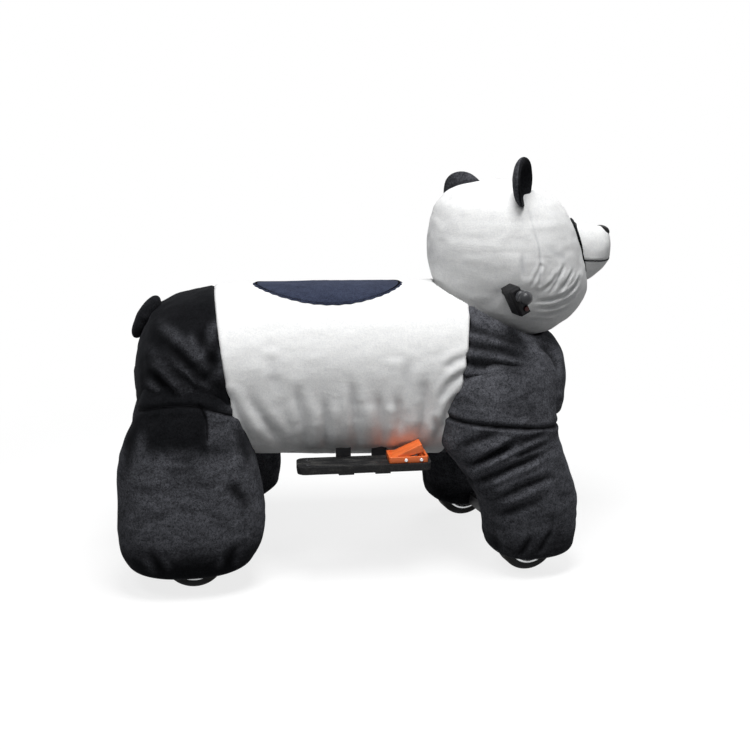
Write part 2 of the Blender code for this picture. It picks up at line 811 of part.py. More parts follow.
def build_footboards():
    for name, x in (("step_hanger_rear", hanger_rear_x), ("step_hanger_front", hanger_front_x)):
        sheet_cut(name, [hanger_outline()], hanger_width, "frame_paint", "YZ", (x, 0, 0))
    for name, side in (("footboard_left", 1), ("footboard_right", -1)):
        ys = sorted((side * board_inner_y, side * board_outer_y))
        board = block(name, (board_rear_x, ys[0], board_z), (board_front_x, ys[1], board_z + board_thickness),
                      "board_paint", round_by=board_corner, which=2, segments=4)
        if side < 0:
            cut(board, block("pedal_seat", (pedal_rear_x - touch_gap * 2, -far_out, board_z + board_thickness
                                            - pedal_seat_depth), (far_out, far_out, far_out)))


def build_pedal():
    """Foot pedal on the right board, hinged at its rear edge and pushed up by a spring."""
    board_top = board_z + board_thickness
    low = board_top + touch_gap
    high = low + pedal_base_height
    base = block("pedal_base", (pedal_rear_x, -pedal_outer_y, low), (pedal_front_x, -pedal_inner_y, high),
                 "orange_plastic", round_by=bar_round, which=2)
    floor = low + pedal_floor
    cut(base, block("pocket", (pedal_rear_x + pedal_rim, pedal_rim - pedal_outer_y, floor),
                    (pedal_front_x - pedal_rim, -pedal_inner_y - pedal_rim, high + overrun)))
    hinge_x = pedal_rear_x + pedal_rim + pedal_hinge_radius + touch_gap
    hinge_z = floor + touch_gap + pedal_hinge_radius
    axis = frame_empty("pedal_axis", (hinge_x, -(pedal_inner_y + pedal_outer_y) / 2, hinge_z))
    reach = pedal_front_x - pedal_rim - pedal_end_gap - hinge_x
    points = []
    for step in range(pedal_points + 1):
        angle = pedal_high_angle + pi / 2 + (pi - pedal_high_angle + pedal_low_angle) * step / pedal_points
        points.append((pedal_hinge_radius * cos(angle), pedal_hinge_radius * sin(angle)))
    for rib in range(pedal_ribs):
        first = pedal_low_angle + (pedal_high_angle - pedal_low_angle) * rib / pedal_ribs
        last = pedal_low_angle + (pedal_high_angle - pedal_low_angle) * (rib + 1) / pedal_ribs
        for share in rib_shares:
            angle = first + (last - first) * share
            points.append((reach * cos(angle), reach * sin(angle)))
        if rib < pedal_ribs - 1:
            points.append(((reach - pedal_rib_notch) * cos(last), (reach - pedal_rib_notch) * sin(last)))
    width = pedal_outer_y - pedal_inner_y - 2 * pedal_rim - 2 * pedal_side_gap
    sheet_cut("pedal_plate", [points], width, "orange_plastic", "XZ", (0, 0, 0), axis)
    spring_x = hinge_x + reach * spring_place_share
    spring_low = floor + touch_gap + spring_wire
    under = (spring_x - spring_radius - hinge_x) * tan(pedal_low_angle)
    spring_high = hinge_z + under - spring_wire - touch_gap * 2
    coil = []
    total = spring_curls * spring_points
    for step in range(total + 1):
        angle = 2 * pi * step / spring_points
        coil.append((spring_x + spring_radius * cos(angle), axis.location.y + spring_radius * sin(angle),
                     spring_low + (spring_high - spring_low) * step / total))
    bent_tube("pedal_spring", coil, spring_wire, "plated_steel", resolution=1)


def build_covers():
    """Rump, barrel and shoulders, cut from one body, with the panels and the tail on them."""
    half_gap = touch_gap / 2
    rump = body_form("rump_cover")
    rump.data.materials.append(finish_material("black_plush"))
    cut(rump, half_space("ahead", rear_seam_x - half_gap, rear_seam_lean, True),
        cavity("hollow", rump_cavity_rear_x, rear_seam_x + cavity_half_width, cavity_half_width,
               rump_cavity_top_z))
    barrel = body_form("barrel_cover")
    barrel.data.materials.append(finish_material("white_plush"))
    cut(barrel, half_space("behind", rear_seam_x + half_gap, rear_seam_lean, False),
        half_space("ahead", front_seam_x - half_gap, front_seam_lean, True), neck_bowl())
    slot = touch_gap * 2
    for x in (hanger_rear_x, hanger_front_x):
        near, far = x - hanger_width / 2 - slot, x + hanger_width / 2 + slot
        out = hanger_y + hanger_steel / 2 + slot
        top = rail_z - touch_gap + slot
        for side in (1, -1):
            ys = sorted((side * (out - hanger_steel - 2 * slot), side * out))
            cut(barrel, block("slot", (near, ys[0], -overrun), (far, ys[1], top)))
        cut(barrel, block("slot", (near, -hanger_y, top - hanger_steel - 2 * slot), (far, hanger_y, top)))
    cut(barrel, cavity("hollow", rear_seam_x - cavity_half_width, front_seam_x + cavity_half_width,
                       cavity_half_width, cavity_top_z),
        thigh_form("thigh", 1, soft_gap), thigh_form("thigh", -1, soft_gap))
    shoulder = body_form("shoulder_cover")
    shoulder.data.materials.append(finish_material("black_plush"))
    cut(shoulder, half_space("behind", front_seam_x + half_gap, front_seam_lean, False))
    join(shoulder, thigh_form("thigh", 1), thigh_form("thigh", -1))
    cut(shoulder, cavity("hollow", front_seam_x - cavity_half_width, chest_cavity_front_x,
                         chest_cavity_half_width, chest_cavity_top_z), neck_bowl(),
        rod("hole", column_hole_radius, chest_cavity_top_z - overrun, head_low_z + overrun,
            place=(steer_x, 0, 0)))
    panel = body_form("belly_panel")
    panel.data.materials.append(finish_material("white_plush"))
    keep(panel, block("bounds", (panel_rear_x, touch_gap - cavity_half_width, -overrun),
                      (panel_front_x, cavity_half_width - touch_gap, panel_top_z)))
    saddle = body_form("saddle_patch", saddle_thickness)
    saddle.data.materials.append(finish_material("navy_plush"))
    bound = rod("bounds", 1, seat_z, back_z + overrun, place=(saddle_x, 0, 0), sides=32)
    bound.data.transform(Matrix.Diagonal((saddle_half_length, saddle_half_width, 1, 1)))
    keep(saddle, bound)
    cut(saddle, body_form("body", soft_gap))
    tail = soft_ball("tail", tail_size, tail_place, Matrix.Rotation(-tail_slope, 3, "Y"), "black_plush")
    cut(tail, body_form("body", soft_gap))


def wheel_well(side, parent=None, x=0.0, y=0.0):
    """Room for a wheel inside a stuffed foot, open below, with a slot for its axle."""
    out = wheel_radius + wheel_well_gap
    half = wheel_width / 2 + wheel_well_gap
    well = block("well", (x - out, y - half, -overrun), (x + out, y + half, axle_z + out), parent=parent,
                 round_by=wheel_well_gap * 2, which=1)
    return well


def axle_slot(side, half_x, top_z, parent=None, x=0.0):
    """A slot from the foot's inner side to its wheel well."""
    ys = sorted((0, side * (track / 2)))
    return block("slot", (x - half_x, ys[0], -overrun), (x + half_x, ys[1], top_z), parent=parent)


def build_rear_legs():
    for name, side in (("rear_leg_left", 1), ("rear_leg_right", -1)):
        leg = rear_leg_form(name, side)
        leg.data.materials.append(finish_material("black_plush"))
        cut(leg, body_form("body", soft_gap), wheel_well(side, None, rear_axle_x, side * track / 2),
            axle_slot(side, axle_radius + axle_slot_gap, axle_z + axle_radius + axle_slot_gap, None,
                      rear_axle_x))


def build_rear_axle():
    axis = frame_empty("rear_axle_axis", (rear_axle_x, 0, axle_z))
    half_length = track / 2 + wheel_width / 2 + touch_gap + nut_width
    turned("rear_axle", axle_profile(half_length, True), "plated_steel", axis, along="Y")
    for name, side in (("rear_left", 1), ("rear_right", -1)):
        wheel(name, axis, (0, side * track / 2, 0))


def build_front_axle(steering):
    """Beam, axle and wheels on the steering column, and the bar that fills out the front legs."""
    half = beam_size / 2
    beam = block("front_beam", (-half, -beam_half_length, axle_z - half), (half, beam_half_length,
                                                                           axle_z + half), "frame_paint",
                 steering, bar_round, which=1)
    cut(beam, rod("bore", axle_radius + touch_gap, -track, track, None, steering, (0, 0, axle_z), along="Y"))
    half_length = track / 2 + wheel_width / 2 + touch_gap + nut_width
    turned("front_axle", axle_profile(half_length, False), "plated_steel", steering, (0, 0, axle_z),
           along="Y")
    for name, side in (("front_left", 1), ("front_right", -1)):
        axis = frame_empty(name + "_axis", (0, side * track / 2, axle_z), 0, steering)
        wheel(name, axis, (0, 0, 0))
    low = axle_z + half + touch_gap
    top = bar_z - bar_radius - touch_gap
    flange_low = head_tube_low_z - touch_gap - bush_wall
    leg_collar = leg_bar_z - touch_gap
    thrust = flange_low - touch_gap
    column = [(0, top), (column_radius, top), (column_radius, thrust), (collar_radius, thrust),
              (collar_radius, thrust - collar_height), (column_radius, thrust - collar_height),
              (column_radius, leg_collar), (collar_radius, leg_collar),
              (collar_radius, leg_collar - collar_height), (column_radius, leg_collar - collar_height),
              (column_radius, low), (0, low)]
    turned("steering_column", column, "frame_paint", steering)
    bar = block("leg_bar", (-leg_bar_width / 2, -leg_bar_half_length, leg_bar_z),
                (leg_bar_width / 2, leg_bar_half_length, leg_bar_z + leg_bar_height), "frame_paint", steering,
                bar_round, which=1)
    cut(bar, rod("bore", column_radius + touch_gap, leg_bar_z - overrun, leg_bar_z + leg_bar_height + overrun,
                 None, steering))


def boot_form(name, side, parent):
    height = split_z - foot_z
    sections = []
    for height_share, shift_share, length_share, width_share in boot_shares:
        x = shift_share * boot_half_length
        z = foot_z + height_share * height
        around = ring(length_share * boot_half_length, width_share * front_leg_half_width, leg_squareness, 0)
        sections.append([(x + along, side * track / 2 + across, z) for along, across in around])
    return soft_form(name, sections, "black_plush", parent)


def build_front_boots(steering):
    """Lower front legs, which turn with the axle below the split under the shoulders."""
    for name, side in (("front_leg_left", 1), ("front_leg_right", -1)):
        boot = boot_form(name, side, steering)
        grow = touch_gap
        half = leg_bar_width / 2 + grow
        cut(boot, block("above", (-far_out, -far_out, split_z - split_gap), (far_out, far_out, far_out)),
            wheel_well(side, steering, 0, side * track / 2),
            axle_slot(side, beam_size / 2 + axle_slot_gap, axle_z + beam_size / 2 + axle_slot_gap, steering),
            block("slot", (-half, -leg_bar_half_length - grow, leg_bar_z - grow),
                  (half, leg_bar_half_length + grow, leg_bar_z + leg_bar_height + grow), parent=steering))


def bar_points():
    """The handlebar in plan: across the column, then swept back to the grips."""
    right = [(0, bar_bend_in_y), (-bar_sweep, bar_bend_out_y), (-bar_sweep, ball_y)]
    return [(x, -y, bar_z) for x, y in reversed(right)] + [(x, y, bar_z) for x, y in right]


def build_handlebar(steering):
    bent_tube("handlebar", bar_points(), bar_radius, "frame_paint", steering)
    bore = bar_radius + touch_gap
    neck = sqrt(ball_radius ** 2 - (ball_radius / 2) ** 2)
    arc = [(ball_radius * sin(step * pi / 8), ball_radius * cos(step * pi / 8)) for step in range(7)]
    length = ball_y - grip_inner_y
    profile = arc + [(grip_radius - touch_gap * 4, -neck), (grip_radius, -neck - ball_radius / 2),
                     (grip_radius, -length), (bore, -length), (bore, touch_gap), (0, touch_gap)]
    for name, side in (("grip_left", 1), ("grip_right", -1)):
        grip = turned(name, profile, "grip_rubber", steering, sides=grip_sides)
        grip.data.transform(Matrix.Rotation(-side * pi / 2, 4, "X"))
        grip.location = (-bar_sweep, side * ball_y, bar_z)
    pod = block("control_pod", (-pod_depth / 2, -pod_width / 2, -pod_length / 2),
                (pod_depth / 2, pod_width / 2, pod_length / 2), "black_plastic", steering, pod_round)
    pod.data.transform(Matrix.Rotation(-pod_tilt, 4, "Y"))
    pod.location = (-bar_sweep, -pod_inner_y - pod_width / 2, bar_z - pod_drop)
    cut(pod, rod("bore", bore, -pod_width, pod_width, None, steering,
                 (-bar_sweep, -pod_inner_y - pod_width / 2, bar_z), along="Y"))
    down = Vector((sin(pod_tilt), 0, -cos(pod_tilt))) * (button_drop + pod_drop)
    face = Vector((-bar_sweep, -pod_inner_y - pod_width, bar_z)) + down
    cut(pod, rod("pocket", button_radius + touch_gap, -overrun, button_depth, None, steering, face,
                 along="Y"))
    axis = frame_empty("button_axis", face, 0, steering)
    deep = button_depth - button_travel - touch_gap
    top = -button_proud
    button = [(0, deep), (button_radius, deep), (button_radius, top + touch_gap * 3),
              (button_radius - touch_gap * 3, top), (0, top)]
    turned("horn_button", button, "button_red", axis, along="Y")


def build_head(steering):
    """Stuffed head on the column, its snout, nose, ears and eye patches sewn on."""
    head = head_form("head", "white_plush", steering)
    tunnel = bent_tube("tunnel", bar_points(), bar_radius + touch_gap, None, steering)
    shaft = rod("shaft", column_radius + touch_gap, head_low_z - overrun, bar_z, None, steering)
    cut(head, tunnel, shaft)
    length = snout_front_x - snout_rear_x
    sections = []
    for place_share, drop_share, height_share, width_share in snout_shares:
        x = snout_rear_x + place_share * length
        around = ring(width_share * snout_half_width, height_share * snout_half_height, 2, 0)
        middle = snout_z - drop_share * snout_half_height
        sections.append([(x, across, middle + up) for across, up in around])
    snout = soft_form("snout", sections, "white_plush", steering)
    cut(snout, head_form("outer", None, steering, soft_gap))
    nose = soft_ball("nose", nose_size, nose_place, Matrix.Identity(3), "nose_black", steering)
    skin = soft_form("skin", [[(x, y * 1.01, snout_z + (z - snout_z) * 1.01) for x, y, z in section]
                              for section in sections], None, steering)
    cut(nose, skin)
    for name, side, (x, y, z), lean, twist in (("ear_left", 1, slack_ear_place, slack_ear_lean, slack_ear_turn),
                                               ("ear_right", -1, ear_place, ear_lean, ear_turn)):
        turn = Matrix.Rotation(side * twist, 3, "Z") @ Matrix.Rotation(-side * lean, 3, "X")
        ear = soft_ball(name, ear_size, (x, side * y, z), turn, "black_plush", steering)
        cut(ear, head_form("outer", None, steering, soft_gap))
    for name, side in (("eye_patch_left", 1), ("eye_patch_right", -1)):
        patch = head_form(name, "black_plush", steering, patch_thickness)
        oval = rod("oval", 1, 0, far_out, None, steering, (0, 0, patch_z))
        lean = Matrix.Rotation(-side * patch_lean, 4, "X")
        swing = Matrix.Rotation(side * patch_turn, 4, "Z")
        oval.data.transform(swing @ lean @ Matrix.Rotation(pi / 2, 4, "Y")
                            @ Matrix.Diagonal((patch_half_height, patch_half_width, 1, 1)))
        keep(patch, oval)
        cut(patch, head_form("outer", None, steering, soft_gap),
            soft_form("skin", [[(x, y * 1.02, snout_z + (z - snout_z) * 1.02) for x, y, z in section]
                               for section in sections], None, steering))


build_frame()
build_seat()
build_drive()
build_footboards()
build_pedal()
build_covers()
build_rear_legs()
build_rear_axle()
steering_axis = frame_empty("steering_axis", (steer_x, 0, 0), rest_turn)
build_front_axle(steering_axis)
build_front_boots(steering_axis)
build_handlebar(steering_axis)
build_head(steering_axis)
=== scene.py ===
from math import pi, sin, cos, radians
import bpy
import bmesh
import numpy as np
from mathutils import Vector, Matrix
from mathutils.bvhtree import BVHTree


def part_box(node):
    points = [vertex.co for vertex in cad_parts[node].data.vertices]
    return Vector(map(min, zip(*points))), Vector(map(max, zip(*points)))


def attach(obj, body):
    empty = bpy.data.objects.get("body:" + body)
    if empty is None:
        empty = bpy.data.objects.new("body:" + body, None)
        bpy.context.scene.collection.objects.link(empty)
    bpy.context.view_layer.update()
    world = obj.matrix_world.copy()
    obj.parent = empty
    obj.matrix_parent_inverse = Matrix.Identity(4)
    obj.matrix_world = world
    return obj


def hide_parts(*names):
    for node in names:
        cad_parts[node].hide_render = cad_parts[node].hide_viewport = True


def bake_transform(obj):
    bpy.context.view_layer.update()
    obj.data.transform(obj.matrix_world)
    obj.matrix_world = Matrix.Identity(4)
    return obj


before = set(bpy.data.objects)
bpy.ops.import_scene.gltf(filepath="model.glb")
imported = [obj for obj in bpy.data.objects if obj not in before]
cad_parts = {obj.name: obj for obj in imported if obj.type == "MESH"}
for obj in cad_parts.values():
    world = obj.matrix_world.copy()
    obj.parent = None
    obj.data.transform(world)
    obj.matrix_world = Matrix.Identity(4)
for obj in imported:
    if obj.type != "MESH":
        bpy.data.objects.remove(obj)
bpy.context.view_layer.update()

print("ride-on: camera and light")
bpy.context.scene.view_settings.view_transform = "Standard"

# fitted to the wheels and the footboard
view = dict(place=(-0.336, -2.80, 1.17), heading=7.0, downward=13.8, lens=52.32, sensor=36, farthest=100)
lamps = {  # place, aim, width, watts
    "keyLamp": ((-1.5, -2.0, 3.4), (0.0, 0.0, 0.5), 1.3, 36),
    "topLamp": ((0.0, -1.0, 3.5), (0.0, 0.0, 0.5), 1.5, 100),
    "backLamp": ((1.4, 2.6, 2.4), (0.0, 0.0, 0.5), 2.2, 34),
    "frontLamp": ((3.0, -0.4, 1.9), (0.2, 0.0, 0.6), 1.8, 11),
}
studio = dict(floorSize=60, floorTone=0.24, floorGlow=0.80, airTone=0.11, airColour=(0.92, 0.96, 1.0), whiteFrom=0.95,
              whiteAt=2.0)
pureWhite = (1, 1, 1)


def inScene(name, data):
    thing = bpy.data.objects.new(name, data)
    bpy.context.scene.collection.objects.link(thing)
    return thing


def meshFrom(name, work):
    mesh = bpy.data.meshes.new(name)
    work.to_mesh(mesh)
    work.free()
    return mesh


def setCamera():
    lens = bpy.data.cameras.new("photoCamera")
    lens.lens = view["lens"]
    lens.sensor_width = view["sensor"]
    lens.clip_end = view["farthest"]
    camera = inScene("photoCamera", lens)
    camera.location = view["place"]
    camera.rotation_euler = (radians(90 - view["downward"]), 0, radians(-view["heading"]))
    bpy.context.scene.camera = camera


def setLamps():
    for name, (place, aim, width, watts) in lamps.items():
        light = bpy.data.lights.new(name, "AREA")
        light.shape = "DISK"
        light.size = width
        light.energy = watts
        lamp = inScene(name, light)
        lamp.location = place
        lamp.rotation_euler = (Vector(aim) - Vector(place)).to_track_quat("-Z", "Y").to_euler()


# Gives a node's inputs their links or their values
def feed(tree, node, inputs):
    for name, value in inputs.items():
        socket = node.inputs[name]
        if isinstance(value, bpy.types.NodeSocket):
            tree.links.new(value, socket)
        else:
            socket.default_value = (*value, 1) if socket.type == "RGBA" else value


# The outputs of a new shader node, made with its inputs and settings
def newNode(tree, kind, inputs, **settings):
    node = tree.nodes.new("ShaderNode" + kind)
    for name, value in settings.items():
        setattr(node, name, value)
    feed(tree, node, inputs)
    return node.outputs


# 1 for what the camera, a mirror or glass sees, 0 for light on the object
def seenRay(tree):
    path = newNode(tree, "LightPath", {})
    seen = path["Is Camera Ray"]
    for other in ("Is Glossy Ray", "Is Transmission Ray"):
        seen = newNode(tree, "Math", {0: seen, 1: path[other]}, operation="MAXIMUM")[0]
    return seen


def setStudio():
    world = bpy.data.worlds.new("paleRoom")
    world.use_nodes = True
    bpy.context.scene.world = world
    tree = world.node_tree
    tree.nodes.clear()
    air = newNode(tree, "Background", {"Color": studio["airColour"], "Strength": studio["airTone"]})[0]
    room = newNode(tree, "Background", {"Color": pureWhite})[0]
    surface = newNode(tree, "MixShader", {0: seenRay(tree), 1: air, 2: room})[0]
    newNode(tree, "OutputWorld", {"Surface": surface})

    work = bmesh.new()
    bmesh.ops.create_grid(work, x_segments=2, y_segments=2, size=studio["floorSize"] / 2)
    floor = inScene("floor", meshFrom("floor", work))
    material = bpy.data.materials.new("paleFloor")
    material.use_nodes = True
    tree = material.node_tree
    tree.nodes.clear()
    seen = seenRay(tree)
    strength = newNode(tree, "Math", {0: seen, 1: studio["floorGlow"]}, operation="MULTIPLY")[0]
    matt = newNode(tree, "BsdfDiffuse", {"Color": [studio["floorTone"]] * 3})[0]
    glow = newNode(tree, "Emission", {"Color": pureWhite, "Strength": strength})[0]
    near = newNode(tree, "AddShader", {0: matt, 1: glow})[0]
    # far from the object the floor is as white as the room
    place = newNode(tree, "TexCoord", {})["Object"]
    away = newNode(tree, "VectorMath", {0: place}, operation="LENGTH")["Value"]
    far = newNode(tree, "MapRange", {"Value": away, "From Min": studio["whiteFrom"], "From Max": studio["whiteAt"]},
                  interpolation_type="SMOOTHSTEP")[0]
    seenFar = newNode(tree, "Math", {0: far, 1: seen}, operation="MULTIPLY")[0]
    bright = newNode(tree, "Emission", {"Color": pureWhite})[0]
    surface = newNode(tree, "MixShader", {0: seenFar, 1: near, 2: bright})[0]
    newNode(tree, "OutputMaterial", {"Surface": surface})
    floor.data.materials.append(material)


setCamera()
setLamps()
setStudio()

print("ride-on: finishes")


# A material being wired up, with its coordinates and its shader
class Finish:

    def __init__(self, name, roughness, metallic=0.0):
        self.material = bpy.data.materials.new(name)
        self.material.use_nodes = True
        self.tree = self.material.node_tree
        self.shader = self.tree.nodes["Principled BSDF"]
        self.surface({"Roughness": roughness, "Metallic": metallic})
        self.place = self.node("TexCoord", {})["Object"]
        self.lastBump = None

    def node(self, kind, inputs, **settings):
        return newNode(self.tree, kind, inputs, **settings)

    def surface(self, inputs):
        feed(self.tree, self.shader, inputs)

    def grain(self, scale, detail=3, stretch=None, turn=(0, 0, 0), distort=0.0):
        source = self.place
        if stretch:
            source = self.node("Mapping", {"Vector": source, "Scale": stretch, "Rotation": turn})[0]
        inputs = {"Vector": source, "Scale": scale, "Detail": detail, "Distortion": distort}
        return self.node("TexNoise", inputs)["Fac"]

    def cells(self, scale):
        return self.node("TexVoronoi", {"Vector": self.place, "Scale": scale})["Distance"]

    def marked(self, name):
        return self.node("Attribute", {}, attribute_name=name)["Fac"]

    def spread(self, value, low, high, toLow=0.0, toHigh=1.0):
        inputs = {"Value": value, "From Min": low, "From Max": high, "To Min": toLow, "To Max": toHigh}
        return self.node("MapRange", inputs, interpolation_type="SMOOTHSTEP")[0]

    def times(self, first, second):
        return self.node("Math", {0: first, 1: second}, operation="MULTIPLY")[0]

    def plus(self, first, second):
        return self.node("Math", {0: first, 1: second}, operation="ADD")[0]

    # inputs 6 and 7 and output 2 of a mix node are its colours
    def blendOf(self, amount, first, second):
        return self.node("Mix", {"Factor": amount, 6: first, 7: second}, data_type="RGBA")[2]

    def lift(self, height, strength, distance):
        inputs = {"Height": height, "Strength": strength, "Distance": distance}
        if self.lastBump:
            inputs["Normal"] = self.lastBump
        self.lastBump = self.node("Bump", inputs)[0]
        self.surface({"Normal": self.lastBump})

    def colour(self, value):
        self.surface({"Base Color": value})

    def dull(self, value):
        self.surface({"Roughness": value})

    def gloss(self, level):
        self.surface({"Specular IOR Level": level})


# the brushed pile colour also stands for painted sheen; the crease colour is painted shade
plushLooks = {  # roots, pile tips, brushed pile, crease, sheen weight, sheen tint, gloss
    "whitePlush": ((0.71, 0.715, 0.72), (0.83, 0.83, 0.82), (0.77, 0.77, 0.77), (0.44, 0.45, 0.47), 0.10,
                   (1.0, 1.0, 1.0), 0.12),
    "blackPlush": ((0.0014, 0.0015, 0.0018), (0.0055, 0.0058, 0.0068), (0.142, 0.145, 0.163), (0.0006, 0.0006, 0.0008),
                   0.02, (0.60, 0.63, 0.72), 0.03),
    "navyPlush": ((0.008, 0.010, 0.019), (0.022, 0.028, 0.050), (0.050, 0.060, 0.10), (0.002, 0.003, 0.006), 0.06,
                  (0.55, 0.62, 0.85), 0.06),
}
plushScale = dict(pile=640, nap=210, tuft=70, mottle=8, ripple=(17, 17, 42), rippleTurn=14)
plushShare = dict(pile=0.48, nap=0.36, tuft=0.16, ripple=0.30, mottle=0.28, even=0.42)
plushBump = dict(ripple=(0.30, 0.0025), pile=(0.60, 0.0016))  # strength, depth


# Short pile: fine speckle, pale brushed streaks that also stand for painted sheen where a piece is marked, and painted
# shade in its creases and sewn grooves
def plush(name):
    roots, tips, brushed, paintedShade, sheenWeight, sheenTint, gloss = plushLooks[name]
    f = Finish(name, 0.9)
    pile = f.grain(plushScale["pile"], 3)
    nap = f.grain(plushScale["nap"], 4, distort=0.4)
    tuft = f.grain(plushScale["tuft"], 3)
    mottle = f.grain(plushScale["mottle"], 3)
    ripple = f.grain(1.0, 3, plushScale["ripple"], (0, radians(plushScale["rippleTurn"]), 0), 1.0)
    share = plushShare
    depth = f.plus(f.times(pile, share["pile"]), f.plus(f.times(nap, share["nap"]), f.times(tuft, share["tuft"])))
    fur = f.blendOf(f.spread(depth, 0.36, 0.62), roots, tips)
    streaks = f.plus(f.times(f.spread(ripple, 0.36, 0.62), share["ripple"]),
                     f.times(f.spread(mottle, 0.36, 0.60), share["mottle"]))
    # how pale the pile turns: brushed streaks and painted sheen
    brushingAndSheen = f.times(f.plus(streaks, share["even"]), f.spread(depth, 0.38, 0.62, 0.22, 1.0))
    lifted = f.times(brushingAndSheen, f.marked("dustAndSheen"))
    fur = f.blendOf(lifted, fur, brushed)
    # painted shade darkens the creases and sewn grooves
    f.colour(f.blendOf(f.marked("paintedShade"), fur, paintedShade))
    f.dull(f.spread(nap, 0.3, 0.7, 0.84, 0.98))
    f.lift(ripple, *plushBump["ripple"])
    f.lift(depth, *plushBump["pile"])
    f.surface({"Sheen Weight": sheenWeight, "Sheen Roughness": 0.5, "Sheen Tint": sheenTint})
    f.gloss(gloss)
    return f.material


# Two colours mixed by a grain that also sets the roughness, over finer bumps: scale, detail, strength and depth
def speckled(name, roughness, colours, grain, mixed, dullness, bump=None, gloss=0.5):
    f = Finish(name, roughness)
    tone = f.grain(**grain)
    f.colour(f.blendOf(f.spread(tone, *mixed), *colours))
    f.dull(f.spread(tone, 0.3, 0.7, *dullness))
    if bump:
        f.lift(f.grain(*bump[:2]), *bump[2:])
    f.gloss(gloss)
    return f.material


def painted(name, colour, worn, roughness, wear=0.62):
    f = Finish(name, roughness)
    scuff = f.grain(38, 6, distort=0.8)
    orangePeel = f.grain(900, 2)
    dustAndSheen = f.grain(11, 4)
    coat = f.blendOf(f.spread(dustAndSheen, 0.3, 0.75), colour, tuple(c * 1.5 + 0.01 for c in colour))
    f.colour(f.blendOf(f.spread(scuff, wear, wear + 0.08), coat, worn))
    f.dull(f.spread(scuff, 0.3, 0.75, roughness - 0.12, roughness + 0.2))
    f.lift(orangePeel, 0.12, 0.0005)
    f.gloss(0.22)
    return f.material


def plated(name, colour, roughness):
    f = Finish(name, roughness, 1.0)
    brushed = f.grain(1.0, 4, (60, 900, 900))
    stain = f.grain(30, 4)
    f.colour(f.blendOf(f.spread(stain, 0.45, 0.75), colour, tuple(c * 0.62 for c in colour)))
    f.dull(f.spread(brushed, 0.2, 0.8, roughness - 0.08, roughness + 0.15))
    f.lift(brushed, 0.08, 0.0004)
    return f.material


def plywoodFinish():
    f = Finish("plywoodBoard", 0.65)
    grain = f.grain(1.0, 5, (14, 240, 240), distort=1.2)
    figure = f.grain(1.0, 3, (3, 26, 26), distort=1.6)
    plies = f.grain(1.0, 1, (2, 2, 520))
    wood = f.blendOf(f.spread(grain, 0.35, 0.65), (0.42, 0.27, 0.14), (0.66, 0.47, 0.27))
    wood = f.blendOf(f.times(f.spread(figure, 0.45, 0.7), 0.5), wood, (0.36, 0.22, 0.11))
    f.colour(f.blendOf(f.times(f.spread(plies, 0.45, 0.55), 0.25), wood, (0.28, 0.17, 0.09)))
    f.dull(f.spread(grain, 0.3, 0.7, 0.55, 0.75))
    f.lift(grain, 0.2, 0.0006)
    return f.material


# Black deck paint, rubbed to a dusty grey where feet rest
def boardFinish():
    f = Finish("deckPaint", 0.55)
    scuff = f.grain(1.0, 6, (10, 34, 34), distort=1.5)
    specks = f.grain(260, 4)
    grit = f.cells(620)
    worn = f.times(f.spread(scuff, 0.46, 0.66), f.spread(specks, 0.35, 0.6, 0.35, 1.0))
    coat = f.blendOf(f.spread(specks, 0.35, 0.7), (0.008, 0.008, 0.009), (0.020, 0.020, 0.020))
    f.colour(f.blendOf(worn, coat, (0.050, 0.049, 0.047)))
    f.dull(f.spread(scuff, 0.3, 0.7, 0.42, 0.8))
    f.lift(grit, 0.45, 0.0008)
    f.gloss(0.16)
    return f.material


def rubber(name, colour, dusty, roughness, gloss=0.2):
    return speckled(name, roughness, (colour, dusty), dict(scale=24, detail=5), (0.42, 0.7),
                    (roughness - 0.12, roughness + 0.12), (500, 3, 0.25, 0.0006), gloss)


def moulded(name, colour, roughness, grainDepth=0.2, gloss=0.5):
    shade = tuple(c * 0.72 for c in colour)
    return speckled(name, roughness, (colour, shade), dict(scale=30, detail=5, distort=0.6), (0.45, 0.75),
                    (roughness - 0.08, roughness + 0.14), (1100, 2, grainDepth, 0.0004), gloss)


def eyeGlass():
    glass = speckled("eyeGlass", 0.08, ((0.006, 0.005, 0.005), (0.016, 0.012, 0.010)), dict(scale=60), (0.3, 0.7),
                     (0.05, 0.14))
    feed(glass.node_tree, glass.node_tree.nodes["Principled BSDF"], {"Coat Weight": 1.0, "Coat Roughness": 0.03})
    return glass


finishes = {
    "white_plush": plush("whitePlush"),
    "black_plush": plush("blackPlush"),
    "navy_plush": plush("navyPlush"),
    "nose_black": speckled("noseFelt", 0.7, ((0.003, 0.003, 0.003), (0.012, 0.011, 0.012)),
                           dict(scale=420, detail=4), (0.35, 0.65), (0.45, 0.7), (420, 4, 0.4, 0.0012), 0.06),
    "frame_paint": painted("framePaint", (0.022, 0.022, 0.024), (0.13, 0.11, 0.10), 0.42),
    "plated_steel": plated("zincSteel", (0.70, 0.71, 0.72), 0.28),
    "bronze": plated("bushBronze", (0.55, 0.36, 0.16), 0.35),
    "plywood": plywoodFinish(),
    "board_paint": boardFinish(),
    "tyre_rubber": rubber("tyreRubber", (0.014, 0.014, 0.015), (0.075, 0.072, 0.068), 0.75),
    "grip_rubber": rubber("gripRubber", (0.024, 0.025, 0.028), (0.050, 0.050, 0.055), 0.36, 0.28),
    "belt_rubber": rubber("beltRubber", (0.018, 0.018, 0.018), (0.05, 0.05, 0.05), 0.6),
    "black_plastic": moulded("blackPlastic", (0.006, 0.006, 0.007), 0.42, 0.2, 0.16),
    "orange_plastic": moulded("orangePlastic", (0.78, 0.16, 0.035), 0.36, 0.12),
    "button_red": moulded("redPlastic", (0.06, 0.008, 0.008), 0.3, 0.08, 0.25),
    "battery_case": moulded("batteryCase", (0.10, 0.11, 0.12), 0.5),
    "motor_paint": painted("motorPaint", (0.16, 0.17, 0.18), (0.35, 0.35, 0.35), 0.45, 0.68),
}
eyeMaterial = eyeGlass()
